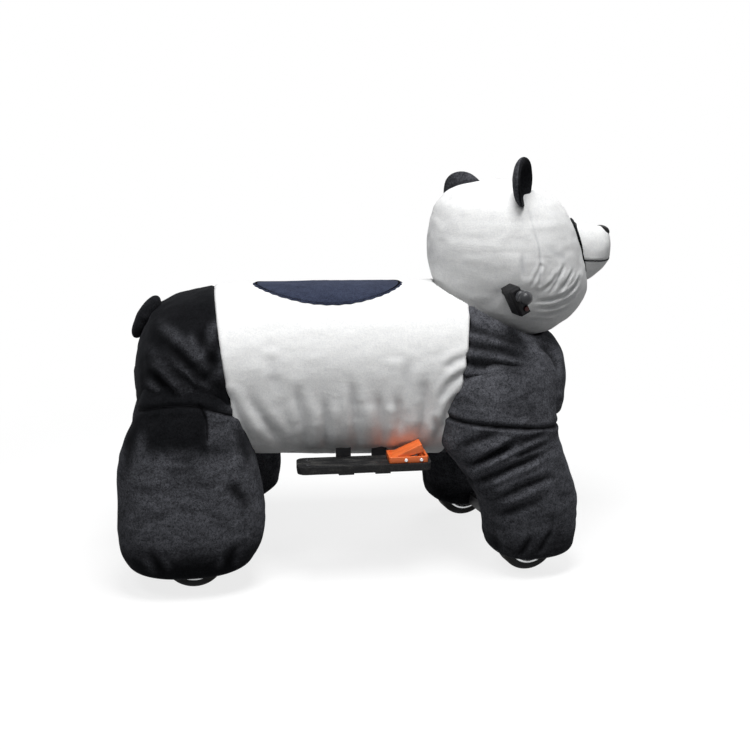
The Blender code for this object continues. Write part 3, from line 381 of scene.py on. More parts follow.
threadMaterial = speckled("waxedThread", 0.8, ((0.0015, 0.0015, 0.002), (0.006, 0.006, 0.007)),
                          dict(scale=1500, detail=2), (0.35, 0.65), (0.7, 0.9), (1500, 2, 0.3, 0.0003), 0.05)
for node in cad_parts.values():
    for index, old in enumerate(node.data.materials):
        node.data.materials[index] = finishes[old.name.split(".")[0]]

print("ride-on: helpers")

steerTurn = radians(12)
steerPlace = Vector((0.335, 0, 0))
toSteering = Matrix.Translation(steerPlace) @ Matrix.Rotation(steerTurn, 4, "Z")


# A smooth curve through the rows of a table, first column the place along
def smoothRows(table, places):
    rows = np.array(table, float)
    x = rows[:, 0]
    gap = np.diff(x)
    slope = np.diff(rows, axis=0) / gap[:, None]
    tangent = np.empty_like(rows)
    tangent[0], tangent[-1] = slope[0], slope[-1]
    tangent[1:-1] = (slope[:-1] * gap[1:, None] + slope[1:] * gap[:-1, None]) / (gap[1:] + gap[:-1])[:, None]
    places = np.clip(places, x[0], x[-1])
    i = np.clip(np.searchsorted(x, places, side="right") - 1, 0, len(x) - 2)
    s = ((places - x[i]) / gap[i])[..., None]
    h = gap[i][..., None]
    return (rows[i] * (2 * s ** 3 - 3 * s ** 2 + 1) + tangent[i] * h * (s ** 3 - 2 * s ** 2 + s)
            + rows[i + 1] * (3 * s ** 2 - 2 * s ** 3) + tangent[i + 1] * h * (s ** 3 - s ** 2))[..., 1:]


def softStep(value, low, high):
    s = np.clip((value - low) / (high - low), 0, 1)
    return s * s * (3 - 2 * s)


def roundOff(distance, radius):
    inside = np.clip(radius - distance, 0, radius)
    return radius - np.sqrt(np.maximum(radius ** 2 - inside ** 2, 0))


# Evenly spaced rings from pole to pole: place along, inset in metres, and share of the section
def meridian(low, high, sizeAt, roundLow, roundHigh, rings, capShare):
    places = np.linspace(low, high, 900)
    inset = roundOff(places - low, roundLow) + roundOff(high - places, roundHigh)
    radius = np.maximum(sizeAt(places) - inset, 0.001)
    steps = np.hypot(np.diff(places), np.diff(radius))
    along = np.concatenate([[0], np.cumsum(steps)])
    capLow, capHigh = radius[0] * capShare, radius[-1] * capShare
    marks = np.linspace(0, capLow + along[-1] + capHigh, rings + 1)
    share = np.clip(marks / capLow, 0, 1) * np.clip((marks[-1] - marks) / capHigh, 0, 1)
    share[0] = share[-1] = 0
    at = np.interp(marks - capLow, along, places)
    return at, np.interp(at, places, inset), share


def oval(angle, halfA, halfB, squareness, lowSquareness=None):
    power = 2 / np.where(np.sin(angle) < 0, lowSquareness or squareness, squareness)
    c, s = np.cos(angle), np.sin(angle)
    return (halfA * np.sign(c) * np.abs(c) ** power, halfB * np.sign(s) * np.abs(s) ** power)


# A sphere in bmesh, with each vertex's ring number and angle
def ballOf(around, rings):
    work = bmesh.new()
    bmesh.ops.create_uvsphere(work, u_segments=around, v_segments=rings, radius=1)
    unit = np.array([v.co for v in work.verts])
    ring = np.rint(np.arccos(np.clip(-unit[:, 2], -1, 1)) / pi * rings).astype(int)
    angle = np.arctan2(unit[:, 1], unit[:, 0])
    return work, ring, angle, unit


# A sphere taken as the two layers of a patch: which layer, and the share of the way out from its middle
def patchOf(around, rings):
    work, _, angle, unit = ballOf(around, rings)
    polar = np.arccos(np.clip(unit[:, 2], -1, 1))
    upper = polar <= pi / 2 + 1e-6
    return work, angle, unit, upper, np.where(upper, polar, pi - polar) / (pi / 2)


# A section ends with its two half sizes
def radiusOf(section):
    return (section[-2] + section[-1]) / 2


# A stuffed form swept along its axis: each section's middle and the offsets from it, with places and shares
def sweptForm(spec, sections, radiusAt=None):
    work, ring, angle, _ = ballOf(spec["around"], spec["rings"])
    at, inset, share = meridian(spec["low"], spec["high"], radiusAt or (lambda place: radiusOf(sections[0](place))),
                                *spec["rounding"], spec["rings"], spec["capShare"])
    place, inset, share = at[ring], inset[ring], share[ring]
    spots = []
    for section in sections:
        *middle, halfA, halfB = section(place)
        offsets = oval(angle, halfA - inset, halfB - inset, spec["squareness"])
        spots.append((*middle, offsets[0] * share, offsets[1] * share))
    lowDome, highDome = spec["domes"]
    upper = place > (spec["low"] + spec["high"]) / 2
    return work, spots, place + np.where(upper, highDome, -lowDome) * (1 - share ** 2), share


def moveTo(work, points):
    for vertex, point in zip(work.verts, points.tolist()):
        vertex.co = point


def pointsOf(work):
    return np.array([v.co for v in work.verts])


def normalsOf(work):
    bmesh.ops.recalc_face_normals(work, faces=work.faces)
    work.normal_update()
    return np.array([v.normal for v in work.verts])


# Smooth noise from -1 to 1 at each point; scale may differ along x, y and z
def noiseAt(points, scale, seed=0.0):
    spots = points * np.array(scale) + seed * 7.31
    cell = np.floor(spots)
    part = spots - cell
    part = part ** 3 * (part * (part * 6 - 15) + 10)
    total = np.zeros(len(points))
    for corner in ((i, j, k) for i in (0, 1) for j in (0, 1) for k in (0, 1)):
        mixed = np.sin((cell + corner) @ np.array([127.1, 311.7, 74.7])) * 43758.5453
        share = np.prod(np.where(corner, part, 1 - part), axis=1)
        total += share * (mixed - np.floor(mixed))
    return total * 2 - 1


# Distance from each spot to a line of points, and the share of its length there
def nearLine(spots, line):
    line = np.array(line, float)
    best = np.full(len(spots), 1e9)
    at = np.zeros(len(spots))
    lengths = np.linalg.norm(np.diff(line, axis=0), axis=1)
    before = 0
    for a, b, length in zip(line, line[1:], lengths):
        s = np.clip(((spots - a) @ (b - a)) / length ** 2, 0, 1)
        away = np.linalg.norm(spots - (a + s[:, None] * (b - a)), axis=1)
        nearer = away < best
        best = np.where(nearer, away, best)
        at = np.where(nearer, (before + s * length) / lengths.sum(), at)
        before += length
    return best, at


# More points on a smooth curve through a line's few
def rounder(line, count=14):
    line = np.array(line, float)
    if len(line) < 3:
        return line
    place = np.linspace(0, 1, len(line))
    return smoothRows(np.column_stack([place, line]), np.linspace(0, 1, count))


# A crease with a swelling on each side, fading at its ends
def foldOf(spots, line, depth, width, fromEdge=False):
    away, at = nearLine(spots, rounder(line))
    fade = softStep(1 - at, 0, 0.35)
    if not fromEdge:
        fade = fade * softStep(at, 0, 0.35)
    valley = fade * np.exp(-(away / width) ** 2)
    swell = fade * np.exp(-((away - 2.1 * width) / (1.1 * width)) ** 2)
    return depth * (0.45 * swell - valley), valley, swell


# A sewn line, the same depth from end to end
def grooveOf(spots, line, depth, width):
    away = nearLine(spots, rounder(line, 24))[0]
    valley = np.exp(-(away / width) ** 2)
    return depth * (0.3 * np.exp(-((away - 2.4 * width) / (1.3 * width)) ** 2) - valley), valley


# Keeps the larger of the old mark and the new, from 0 to 1, for the finishes to read
def mark(work, name, values):
    layer = work.verts.layers.float.get(name) or work.verts.layers.float.new(name)
    for vertex, value in zip(work.verts, np.clip(values, 0, 1).tolist()):
        vertex[layer] = max(vertex[layer], value)


# Moves each vertex along its normal
def push(work, amount):
    moveTo(work, pointsOf(work) + normalsOf(work) * amount[:, None])


# A round wire through a line of points
def wire(name, points, radius, roundness, closed=False):
    line = bpy.data.curves.new(name, "CURVE")
    line.dimensions = "3D"
    line.bevel_depth = radius
    line.bevel_resolution = roundness
    line.use_fill_caps = True
    spline = line.splines.new("POLY")
    spline.points.add(len(points) - 1)
    for point, place in zip(spline.points, points):
        point.co = (*place, 1)
    spline.use_cyclic_u = closed
    return inScene(name, line)


# Stitching: a fine thread through a line of points
def threadLine(name, points, radius, body, closed=False):
    thread = wire(name, points, radius, 1, closed)
    thread.data.materials.append(threadMaterial)
    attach(thread, body)


# Points of a line moved onto a piece's surface
def laidOn(work, line, count, lift, matrix=None):
    tree = BVHTree.FromBMesh(work)
    points = []
    for spot in rounder(line, count).tolist():
        place, normal, _, _ = tree.find_nearest(Vector(spot))
        place = place + normal * lift
        points.append(tuple(matrix @ place if matrix is not None else place))
    return points


# A closed line round an upright piece, at the height that a side view gives for each x
def ringRound(work, centre, heightAt, count, lift):
    tree = BVHTree.FromBMesh(work)
    points = []
    for step in range(count):
        out = Vector((cos(step / count * 2 * pi), sin(step / count * 2 * pi), 0))
        x = centre[0]
        for _ in range(3):
            start = Vector((*centre, heightAt(x))) + out * 0.5
            place = tree.ray_cast(start, -out)[0] or start - out * 0.5
            x = place.x
        points.append(tuple(place + out * lift))
    return points


# Turns a bmesh into a piece of the part
def finished(name, work, finish, body, nodes=(), matrix=None, dustAndSheen=None):
    # a mark for pale brushed pile and painted sheen
    if dustAndSheen is not None:
        mark(work, "dustAndSheen", dustAndSheen + np.zeros(len(work.verts)))
    if matrix is not None:
        work.transform(matrix)
    bmesh.ops.recalc_face_normals(work, faces=work.faces)
    piece = inScene(name, meshFrom(name, work))
    piece.data.shade_smooth()
    piece.data.materials.append(finishes.get(finish, eyeMaterial))
    if body:
        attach(piece, body)
    if nodes:
        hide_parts(*nodes)
    return piece


print("ride-on: body covers")

# ends: place and lean of the rear end, the two seams and the front end
torso = dict(ends=((-0.614, 0), (-0.385, -0.1405), (0.205, 0.176), (0.503, 0)), halfGap=0.0004, seamHeight=0.55,
             belly=0.288, back=0.727, halfWidth=0.262, squareness=2.15, bellySquareness=3.4, capShare=0.3, around=336)
torsoShares = (  # place, low, high, width
    (0, 0.38, 0.57, 0.24), (0.009, 0.24, 0.68, 0.54), (0.030, 0.14, 0.82, 0.79), (0.075, 0.095, 0.918, 0.945),
    (0.135, 0.085, 0.968, 1), (0.205, 0.058, 0.996, 0.962), (0.330, 0.028, 1, 0.905), (0.5, 0.006, 1, 0.886),
    (0.635, 0, 0.996, 0.897), (0.72, 0.01, 1.004, 0.927), (0.79, 0.085, 0.98, 0.954), (0.843, 0.17, 0.90, 0.954),
    (0.895, 0.205, 0.80, 0.92), (0.948, 0.21, 0.70, 0.80), (0.982, 0.23, 0.665, 0.60), (1, 0.31, 0.60, 0.33))
headShape = dict(low=0.588, high=0.985, halfLength=0.216, halfWidth=0.207, squareness=2, rounding=(0.010, 0.012),
                 capShare=0.6, domes=(0.003, 0.006), around=420, rings=190, limit=18, leftFolds=0.8, shade=0.55,
                 swells=(0.0030, 0.0011, 0.0007), seed=13.0)
headShares = (  # height, shift, length, width
    (0, 0.10, 0.34, 0.42), (0.03, 0.12, 0.52, 0.60), (0.08, 0.15, 0.66, 0.73), (0.16, 0.172, 0.798, 0.86),
    (0.28, 0.176, 0.905, 0.95), (0.40, 0.134, 0.938, 1), (0.53, 0.076, 0.934, 1), (0.65, 0.043, 0.90, 0.965),
    (0.77, 0.01, 0.83, 0.89), (0.885, -0.035, 0.69, 0.74), (0.96, -0.06, 0.48, 0.53), (1, -0.06, 0.24, 0.26))
neck = dict(clearance=0.004, top=0.80, levels=44, turns=7)
# how much painted shade goes into fold valleys and sewn grooves, and how much painted highlight onto the ridges beside
# folds
creaseShade = dict(fold=0.7, seam=1.0, ridge=0.55)
flank = dict(inner=0.06, outer=0.10)  # how far out the drawn folds begin and are full
swellScale = dict(wide=(7, 7, 7), fine=(34, 34, 34), ripple=(20, 20, 60))

saddle = dict(centre=-0.115, halfLength=0.195, halfWidth=0.137, thickness=0.0022, seat=0.0008, buried=0.004,
              edgeFrom=0.90, ripple=0.0008, grooveDepth=0.0012, grooveWidth=0.010, around=320, rings=96, scallops=40,
              scallopDepth=0.016, stitchInset=0.955, stitchOut=0.012, stitchIn=0.014, stitchPitch=0.0065,
              threadRadius=0.0007, threadSunk=0.0004, swells=(0.0006, 0.0005, 0.0003), seed=5.0, dustAndSheen=0.7)

# folds seen from the side, as x and z: line, depth, width, and True if it starts at a seam
barrelFolds = (
    (((-0.335, 0.52), (-0.312, 0.46), (-0.262, 0.38), (-0.235, 0.33)), 0.0050, 0.012),
    (((-0.372, 0.49), (-0.346, 0.42), (-0.318, 0.355)), 0.0050, 0.011, True),
    (((-0.274, 0.60), (-0.269, 0.55), (-0.257, 0.49)), 0.0020, 0.014),
    (((-0.214, 0.52), (-0.203, 0.455), (-0.190, 0.37), (-0.185, 0.31)), 0.0050, 0.011),
    (((-0.150, 0.49), (-0.141, 0.435), (-0.138, 0.355), (-0.139, 0.30)), 0.0055, 0.011),
    (((-0.083, 0.535), (-0.070, 0.45), (-0.064, 0.355), (-0.062, 0.30)), 0.0062, 0.012),
    (((-0.018, 0.50), (-0.006, 0.43), (0.000, 0.355), (0.002, 0.31)), 0.0050, 0.011),
    (((0.034, 0.48), (0.041, 0.43), (0.044, 0.36)), 0.0045, 0.010),
    (((0.064, 0.58), (0.060, 0.535), (0.066, 0.475)), 0.0026, 0.013),
    (((0.094, 0.54), (0.106, 0.47), (0.100, 0.385), (0.094, 0.33)), 0.0048, 0.011),
    (((0.185, 0.475), (0.160, 0.425), (0.148, 0.36)), 0.0060, 0.010, True),
    (((0.195, 0.53), (0.165, 0.505), (0.135, 0.46)), 0.0040, 0.009, True),
    (((0.205, 0.575), (0.178, 0.563), (0.150, 0.540)), 0.0026, 0.009, True),
    (((0.125, 0.43), (0.138, 0.385), (0.142, 0.345)), 0.0050, 0.009),
)
rumpFolds = (
    (((-0.574, 0.645), (-0.488, 0.588), (-0.400, 0.495)), 0.0075, 0.014),
    (((-0.500, 0.570), (-0.456, 0.520), (-0.405, 0.478)), 0.0055, 0.011),
    (((-0.560, 0.612), (-0.500, 0.556), (-0.448, 0.480)), 0.0060, 0.011),
    (((-0.575, 0.560), (-0.537, 0.535), (-0.492, 0.490)), 0.0050, 0.011),
    (((-0.446, 0.668), (-0.420, 0.603), (-0.388, 0.545)), 0.0035, 0.013),
    (((-0.390, 0.640), (-0.415, 0.575), (-0.420, 0.520)), 0.0030, 0.011, True),
)
shoulderFolds = (
    (((0.222, 0.640), (0.300, 0.618), (0.380, 0.588)), 0.0032, 0.011, True),
    (((0.215, 0.600), (0.290, 0.588), (0.375, 0.560)), 0.0036, 0.010, True),
    (((0.208, 0.558), (0.280, 0.548), (0.360, 0.528)), 0.0040, 0.011, True),
    (((0.204, 0.515), (0.290, 0.512), (0.400, 0.492)), 0.0040, 0.010, True),
    (((0.200, 0.480), (0.270, 0.470), (0.340, 0.470)), 0.0036, 0.010, True),
    (((0.395, 0.592), (0.440, 0.560), (0.462, 0.505)), 0.0048, 0.009),
)
# shade: painted shade in the folds; the last value: pale brushed pile with painted sheen
covers = {  # folds: how deep and how shaded; swells: wide, fine and rippled
    "rumpCover": dict(nodes=["rump_cover"], finish="black_plush", rings=78, rounding=(0.012, 0.009), domes=(0.006, 0),
                      crown=0.004, crownPower=0.8, folds=rumpFolds, deeper=1.7, shade=1.0,
                      swells=(0.0040, 0.0012, 0.0008), seed=1.0, dustAndSheen=0.03),
    "barrelCover": dict(nodes=["barrel_cover", "belly_panel"], finish="white_plush", rings=168,
                        rounding=(0.009, 0.009), domes=(0, 0), crown=0.003, crownPower=0.6, folds=barrelFolds,
                        deeper=1.2, shade=0.32, swells=(0.0022, 0.0009, 0.0006), seed=2.0, dustAndSheen=0.0),
    "shoulderCover": dict(nodes=["shoulder_cover"], finish="black_plush", rings=104, rounding=(0.009, 0.014),
                          domes=(0, 0.006), crown=0.003, crownPower=0.8, folds=shoulderFolds, deeper=1.7, shade=1.0,
                          swells=(0.0030, 0.0011, 0.0014), seed=3.0, dustAndSheen=1.45),
}


# Where a cover's rear end, side 0, or front end, side 1, lies at each height; at a seam it stops short
def endX(number, side, z):
    x, lean = torso["ends"][number + side]
    atSeam = 0 < number + side < len(covers)
    return x + lean * (z - torso["seamHeight"]) + atSeam * (1 - 2 * side) * torso["halfGap"]


def torsoSection(x):
    rear, front = torso["ends"][0][0], torso["ends"][-1][0]
    shares = smoothRows(torsoShares, (x - rear) / (front - rear))
    low, high, width = shares[..., 0], shares[..., 1], shares[..., 2]
    height = torso["back"] - torso["belly"]
    return torso["belly"] + (low + high) / 2 * height, (high - low) / 2 * height, width * torso["halfWidth"]


def headSection(z):
    shares = smoothRows(headShares, (z - headShape["low"]) / (headShape["high"] - headShape["low"]))
    return (shares[..., 0] * headShape["halfLength"], shares[..., 1] * headShape["halfLength"],
            shares[..., 2] * headShape["halfWidth"])


# How far the head reaches from the steering axis, over its whole swing
def sweptReach(angle, z):
    shift, halfA, halfB = headSection(z)
    reach = np.zeros_like(angle)
    for turn in np.radians(np.linspace(-headShape["limit"], headShape["limit"], neck["turns"])):
        c, s = np.cos(angle - turn) / halfA, np.sin(angle - turn) / halfB
        both = c * c + s * s
        root = np.maximum(both - (shift * s / halfA) ** 2, 0)
        reach = np.maximum(reach, (c * shift / halfA + np.sqrt(root)) / both)
    return reach + neck["clearance"]


# Lowers what the head would sweep through to the underside of its swing
def clearOfHead(points):
    out = points.copy()
    side = points[:, 0] - steerPlace.x
    angle = np.arctan2(points[:, 1], side)
    away = np.hypot(side, points[:, 1])
    heights = np.linspace(headShape["low"], neck["top"], neck["levels"])
    reaches = np.array([sweptReach(angle, np.full(len(points), z)) for z in heights])
    reaches = np.maximum.accumulate(reaches, axis=0)
    inside = reaches >= away[None, :]
    first = np.argmax(inside, axis=0)
    floor = heights[first]
    edge = np.clip(first - 1, 0, None)
    lower, upper = reaches[edge, np.arange(len(points))], reaches[first, np.arange(len(points))]
    part = np.where(upper > lower, (away - lower) / np.maximum(upper - lower, 1e-6), 0)
    exact = heights[edge] + np.clip(part, 0, 1) * (heights[first] - heights[edge])
    floor = np.where(first > 0, np.minimum(floor, exact), floor)
    lowest = np.where(away < reaches[0], heights[0], floor) - neck["clearance"]
    out[:, 2] = np.where(inside.any(axis=0), np.minimum(points[:, 2], lowest), points[:, 2])
    return out


# One padded cover of the body, between two ends that may lean
def torsoPart(number, cover):
    work, ring, angle, _ = ballOf(torso["around"], cover["rings"])
    low, high = (endX(number, side, torso["seamHeight"]) for side in (0, 1))
    at, inset, share = meridian(low, high, lambda x: radiusOf(torsoSection(x)), *cover["rounding"], cover["rings"],
                                torso["capShare"])
    u = ((at - low) / (high - low))[ring]
    inset, share = inset[ring], share[ring]
    x = at[ring]
    # the ends lean, so the place of each point and its height settle together
    for _ in range(5):
        middle, halfHeight, halfWidth = torsoSection(x)
        y, z = oval(angle, halfWidth - inset, halfHeight - inset, torso["squareness"], torso["bellySquareness"])
        z = middle + z
        x = endX(number, 0, z) * (1 - u) + endX(number, 1, z) * u
    capped = share < 1
    centreZ = torso["belly"] + (torso["back"] - torso["belly"]) / 2
    y = y * share
    z = np.where(capped, centreZ + (z - centreZ) * share, z)
    for side, outward, dome in zip((0, 1), (-1, 1), cover["domes"]):
        x = np.where(capped & ((u >= 0.5) == side), endX(number, side, z) + outward * dome * (1 - share ** 2), x)
    moveTo(work, np.column_stack([x, y, z]))
    return work, u, share


# Presses folds and sewn lines into a piece, paints shade into their creases and a highlight on the ridges beside the
# folds
def creaseAndPush(work, spots, folds, seams, share, shade):
    amount, paintedShade, ridge = np.zeros((3, len(spots)))
    for line, depth, width, *sewn in folds:
        change, valley, swell = foldOf(spots, line, depth, width, bool(sewn))
        amount += change
        paintedShade = np.maximum(paintedShade, creaseShade["fold"] * valley)
        ridge = np.maximum(ridge, creaseShade["ridge"] * swell)
    for line, depth, width in seams:
        change, valley = grooveOf(spots, line, depth, width)
        amount += change
        paintedShade = np.maximum(paintedShade, creaseShade["seam"] * valley ** 1.5)
    # painted shade in the valleys of folds and sewn grooves
    mark(work, "paintedShade", paintedShade * shade)
    # painted highlight on the swelling beside each fold
    mark(work, "dustAndSheen", ridge * shade)
    push(work, amount * share)


# Folds drawn on both flanks from their side view
def sideFolds(work, folds, deeper, shade):
    points = pointsOf(work)
    outer = softStep(np.abs(points[:, 1]), flank["inner"], flank["outer"])
    lively = 1 + 0.35 * noiseAt(points, (9, 9, 9), 3.0)
    creaseAndPush(work, points[:, [0, 2]], folds, (), outer * lively * deeper, outer * shade)


# Uneven stuffing: broad swells, small dents and the pile's brushed ripples
def plumpSurface(work, wide, fine, ripple, seed, share=1.0):
    points = pointsOf(work)
    amount = wide * noiseAt(points, swellScale["wide"], seed)
    amount += fine * noiseAt(points, swellScale["fine"], seed + 5)
    amount += ripple * noiseAt(points, swellScale["ripple"], seed + 9)
    push(work, amount * share)


# 0 under the saddle, 1 away from it
def clearOfSaddle(points):
    share = np.hypot((points[:, 0] - saddle["centre"]) / saddle["halfLength"], points[:, 1] / saddle["halfWidth"])
    return np.where(points[:, 2] > torso["seamHeight"], softStep(share, 0.95, 1.2), 1.0)


def makeCovers():
    for number, (name, cover) in enumerate(covers.items()):
        work, u, share = torsoPart(number, cover)
        sewn = np.where(u < 0.5, number > 0, number < len(covers) - 1)
        calm = np.where((share < 1) & sewn, 0.0, 1.0)
        crown = cover["crown"] * np.sin(pi * np.clip(u, 0, 1)) ** cover["crownPower"]
        push(work, calm * clearOfSaddle(pointsOf(work)) * crown)
        sideFolds(work, cover["folds"], cover["deeper"], cover["shade"])
        plumpSurface(work, *cover["swells"], cover["seed"], calm * clearOfSaddle(pointsOf(work)))
        moveTo(work, clearOfHead(pointsOf(work)))
        finished(name, work, cover["finish"], "frame", cover["nodes"], dustAndSheen=cover["dustAndSheen"])


makeCovers()

print("ride-on: saddle and tail")

tailShape = dict(size=(0.061, 0.047, 0.024), place=(-0.583, 0, 0.648), slope=58, swells=(0.0022, 0.0012, 0.0008),
                 seed=6.0, dustAndSheen=0.1)


def backHeight(x, y):
    middle, halfHeight, halfWidth = torsoSection(x)
    n = torso["squareness"]
    return middle + halfHeight * np.maximum(1 - np.abs(y / halfWidth) ** n, 0.0) ** (1 / n)


def onSaddle(share, angle, lift):
    x = saddle["centre"] + saddle["halfLength"] * share * np.cos(angle)
    y = saddle["halfWidth"] * share * np.sin(angle)
    slope = (backHeight(x, y + 0.001) - backHeight(x, y - 0.001)) / 0.002
    length = np.sqrt(1 + slope ** 2)
    return np.column_stack([x, y - lift * slope / length, backHeight(x, y) + lift / length])


def makeSaddle():
    work, angle, unit, upper, share = patchOf(saddle["around"], saddle["rings"])
    teeth = np.abs(((angle / (2 * pi) * saddle["scallops"]) % 1) * 2 - 1)
    rim = 1 - saddle["scallopDepth"] * teeth * softStep(share, saddle["edgeFrom"], 1.0)
    lift = saddle["thickness"] * np.sqrt(np.maximum(1 - softStep(share, saddle["edgeFrom"], 1.0) ** 2, 0))
    groove = (share - saddle["stitchInset"] + saddle["grooveWidth"]) / saddle["grooveWidth"]
    lift = lift - saddle["grooveDepth"] * np.exp(-groove ** 2)
    lift = lift + saddle["ripple"] * noiseAt(unit * np.array([1, 1, 0]), (5, 5, 5), 4.0) * (1 - share ** 4)
    lift = np.where(upper, lift + saddle["seat"], -saddle["buried"])
    moveTo(work, onSaddle(share * rim, angle, lift))
    plumpSurface(work, *saddle["swells"], saddle["seed"], np.where(upper, 1.0, 0.0))
    # pale brushed pile with painted sheen over the patch
    finished("saddlePatch", work, "navy_plush", "frame", ["saddle_patch"], dustAndSheen=saddle["dustAndSheen"])

    stitches = int(pi * (saddle["halfLength"] + saddle["halfWidth"]) / saddle["stitchPitch"]) * 2
    steps = np.arange(stitches)
    share = saddle["stitchInset"] + np.where(steps % 2 == 0, saddle["stitchOut"], -saddle["stitchIn"])
    height = np.full(stitches, saddle["thickness"] + saddle["seat"] - saddle["threadSunk"])
    path = onSaddle(share, steps / stitches * 2 * pi, height)
    threadLine("saddleStitch", path.tolist(), saddle["threadRadius"], "frame", True)


def makeTail():
    work, _, _, unit = ballOf(96, 64)
    moveTo(work, unit * np.array(tailShape["size"]))
    work.transform(Matrix.Translation(tailShape["place"]) @ Matrix.Rotation(-radians(tailShape["slope"]), 4, "Y"))
    plumpSurface(work, *tailShape["swells"], tailShape["seed"])
    # a little pale brushed pile with painted sheen
    finished("tailPuff", work, "black_plush", "frame", ["tail"], dustAndSheen=tailShape["dustAndSheen"])


makeSaddle()
makeTail()

print("ride-on: legs")

rearLeg = dict(x=-0.476, y=0.21, low=0.05, high=0.545, halfLength=0.182, halfWidth=0.12, squareness=2.5,
               rounding=(0.012, 0.030), capShare=0.5, domes=(0, 0.010), around=232, rings=150, slump=0.054,
               foldY=0.21, swells=(0.0034, 0.0012, 0.0007), seed=8.0)
rearLegShares = (  # height, shift, length, out, width
    (0, -0.06, 0.62, 1, 0.78), (0.0227, -0.055, 0.765, 1, 0.88), (0.0818, -0.04, 0.905, 1, 0.96),
    (0.2055, -0.01, 1, 1, 1), (0.3673, 0, 0.985, 1, 1), (0.561, -0.033, 0.92, 0.985, 0.95),
    (0.7152, -0.033, 0.79, 0.955, 0.87), (0.822, -0.01, 0.68, 0.905, 0.79), (0.909, 0, 0.60, 0.85, 0.69),
    (1, 0, 0.50, 0.76, 0.5))
frontLeg = dict(x=steerPlace.x, y=0.21, low=0.05, split=0.275, high=0.58, bootLength=0.137, thighLength=0.15,
                halfWidth=0.105, squareness=2.5, rounding=(0.012, 0.030), capShare=0.5, domes=(0, 0.010), around=264,
                rings=170, twistLow=0.19, twistHigh=0.38, turnFrom=0.20, foldY=0.19,
                swells=(0.0030, 0.0012, 0.0009), seed=11.0)
bootShares = (  # height, shift, length, width
    (0, 0.070, 0.63, 0.80), (0.05, 0.065, 0.745, 0.90), (0.185, 0.052, 0.84, 0.955), (0.44, 0.030, 0.885, 1),
    (0.64, -0.018, 0.935, 1), (0.82, -0.13, 1, 0.99), (1.1, -0.26, 1, 0.96), (1.6, -0.36, 1.04, 0.94))
thighShares = (  # height, shift, length, out, width
    (-0.6, 0.05, 0.95, 1, 1), (-0.082, -0.02, 0.965, 1, 1), (0.0705, -0.11, 0.995, 1, 1), (0.2046, -0.22, 1.02, 1, 1),
    (0.3574, -0.245, 0.99, 1, 0.99), (0.5115, -0.235, 0.95, 0.975, 0.95), (0.672, -0.20, 0.90, 0.925, 0.88),
    (0.836, -0.15, 0.82, 0.85, 0.76), (1, -0.12, 0.70, 0.74, 0.60))
wheelShape = dict(radius=0.0773, width=0.052, axleZ=0.0773, rimRadius=0.054, wellGap=0.007, wellSide=0.005)
legSole = dict(height=0.1, calmLow=0.05, calmHigh=0.09)
legSide = dict(inner=0.45, halfBand=0.03)  # how much of the folds shows on the inner side, and how wide the change is
legThread = dict(radius=0.0009, points=90, lift=0.0002)

rearLegFolds = (
    (((-0.606, 0.447), (-0.617, 0.374), (-0.629, 0.292)), 0.0030, 0.014),
    (((-0.370, 0.440), (-0.345, 0.385), (-0.325, 0.310)), 0.0034, 0.013),
    (((-0.400, 0.300), (-0.360, 0.270), (-0.330, 0.215)), 0.0026, 0.013),
    (((-0.585, 0.150), (-0.560, 0.110), (-0.545, 0.070)), 0.0026, 0.010),
    (((-0.360, 0.150), (-0.385, 0.110), (-0.395, 0.070)), 0.0026, 0.010),
)
rearLegSeams = (
    (((-0.640, 0.440), (-0.600, 0.462), (-0.530, 0.480), (-0.466, 0.482), (-0.410, 0.467), (-0.350, 0.442),
      (-0.330, 0.432)), 0.0050, 0.0050),
    (((-0.445, 0.480), (-0.430, 0.450), (-0.429, 0.404)), 0.0040, 0.0045),
)
frontLegSeams = (
    (((0.120, 0.428), (0.165, 0.424), (0.230, 0.418), (0.300, 0.411), (0.380, 0.404), (0.440, 0.398), (0.470, 0.394)),
     0.0050, 0.0050),
)
frontLegFolds = (
    (((0.172, 0.290), (0.215, 0.318), (0.280, 0.355), (0.350, 0.392)), 0.0100, 0.0085),
    (((0.205, 0.312), (0.270, 0.345), (0.335, 0.372)), 0.0060, 0.0065),
    (((0.164, 0.345), (0.213, 0.378), (0.285, 0.400)), 0.0050, 0.009),
    (((0.190, 0.240), (0.255, 0.285), (0.340, 0.322), (0.420, 0.350)), 0.0095, 0.009),
    (((0.300, 0.330), (0.355, 0.352), (0.412, 0.366)), 0.0060, 0.0065),
    (((0.235, 0.200), (0.325, 0.252), (0.443, 0.288)), 0.0065, 0.010),
    (((0.297, 0.352), (0.355, 0.380), (0.420, 0.393)), 0.0050, 0.0070),
    (((0.255, 0.165), (0.330, 0.205), (0.420, 0.230)), 0.0035, 0.011),
    (((0.188, 0.310), (0.212, 0.255), (0.248, 0.190)), 0.0045, 0.009),
    (((0.372, 0.135), (0.350, 0.095), (0.327, 0.060)), 0.0045, 0.007),
    (((0.432, 0.155), (0.400, 0.103), (0.374, 0.062)), 0.0045, 0.007),
    (((0.275, 0.120), (0.285, 0.090), (0.290, 0.062)), 0.0028, 0.008),
)


# Room for a wheel, pushed up into the sole; x and y are counted from the wheel's middle
def hollowFoot(points, x, y):
    reach = wheelShape["radius"] + wheelShape["wellGap"]
    half = wheelShape["width"] / 2 + wheelShape["wellSide"]
    inside = (np.abs(x) < reach) & (np.abs(y) < half) & (points[:, 2] < wheelShape["axleZ"] + reach)
    roof = wheelShape["axleZ"] + np.sqrt(np.maximum(reach ** 2 - x ** 2, 0))
    points[:, 2] = np.where(inside, np.maximum(points[:, 2], roof), points[:, 2])
    return points


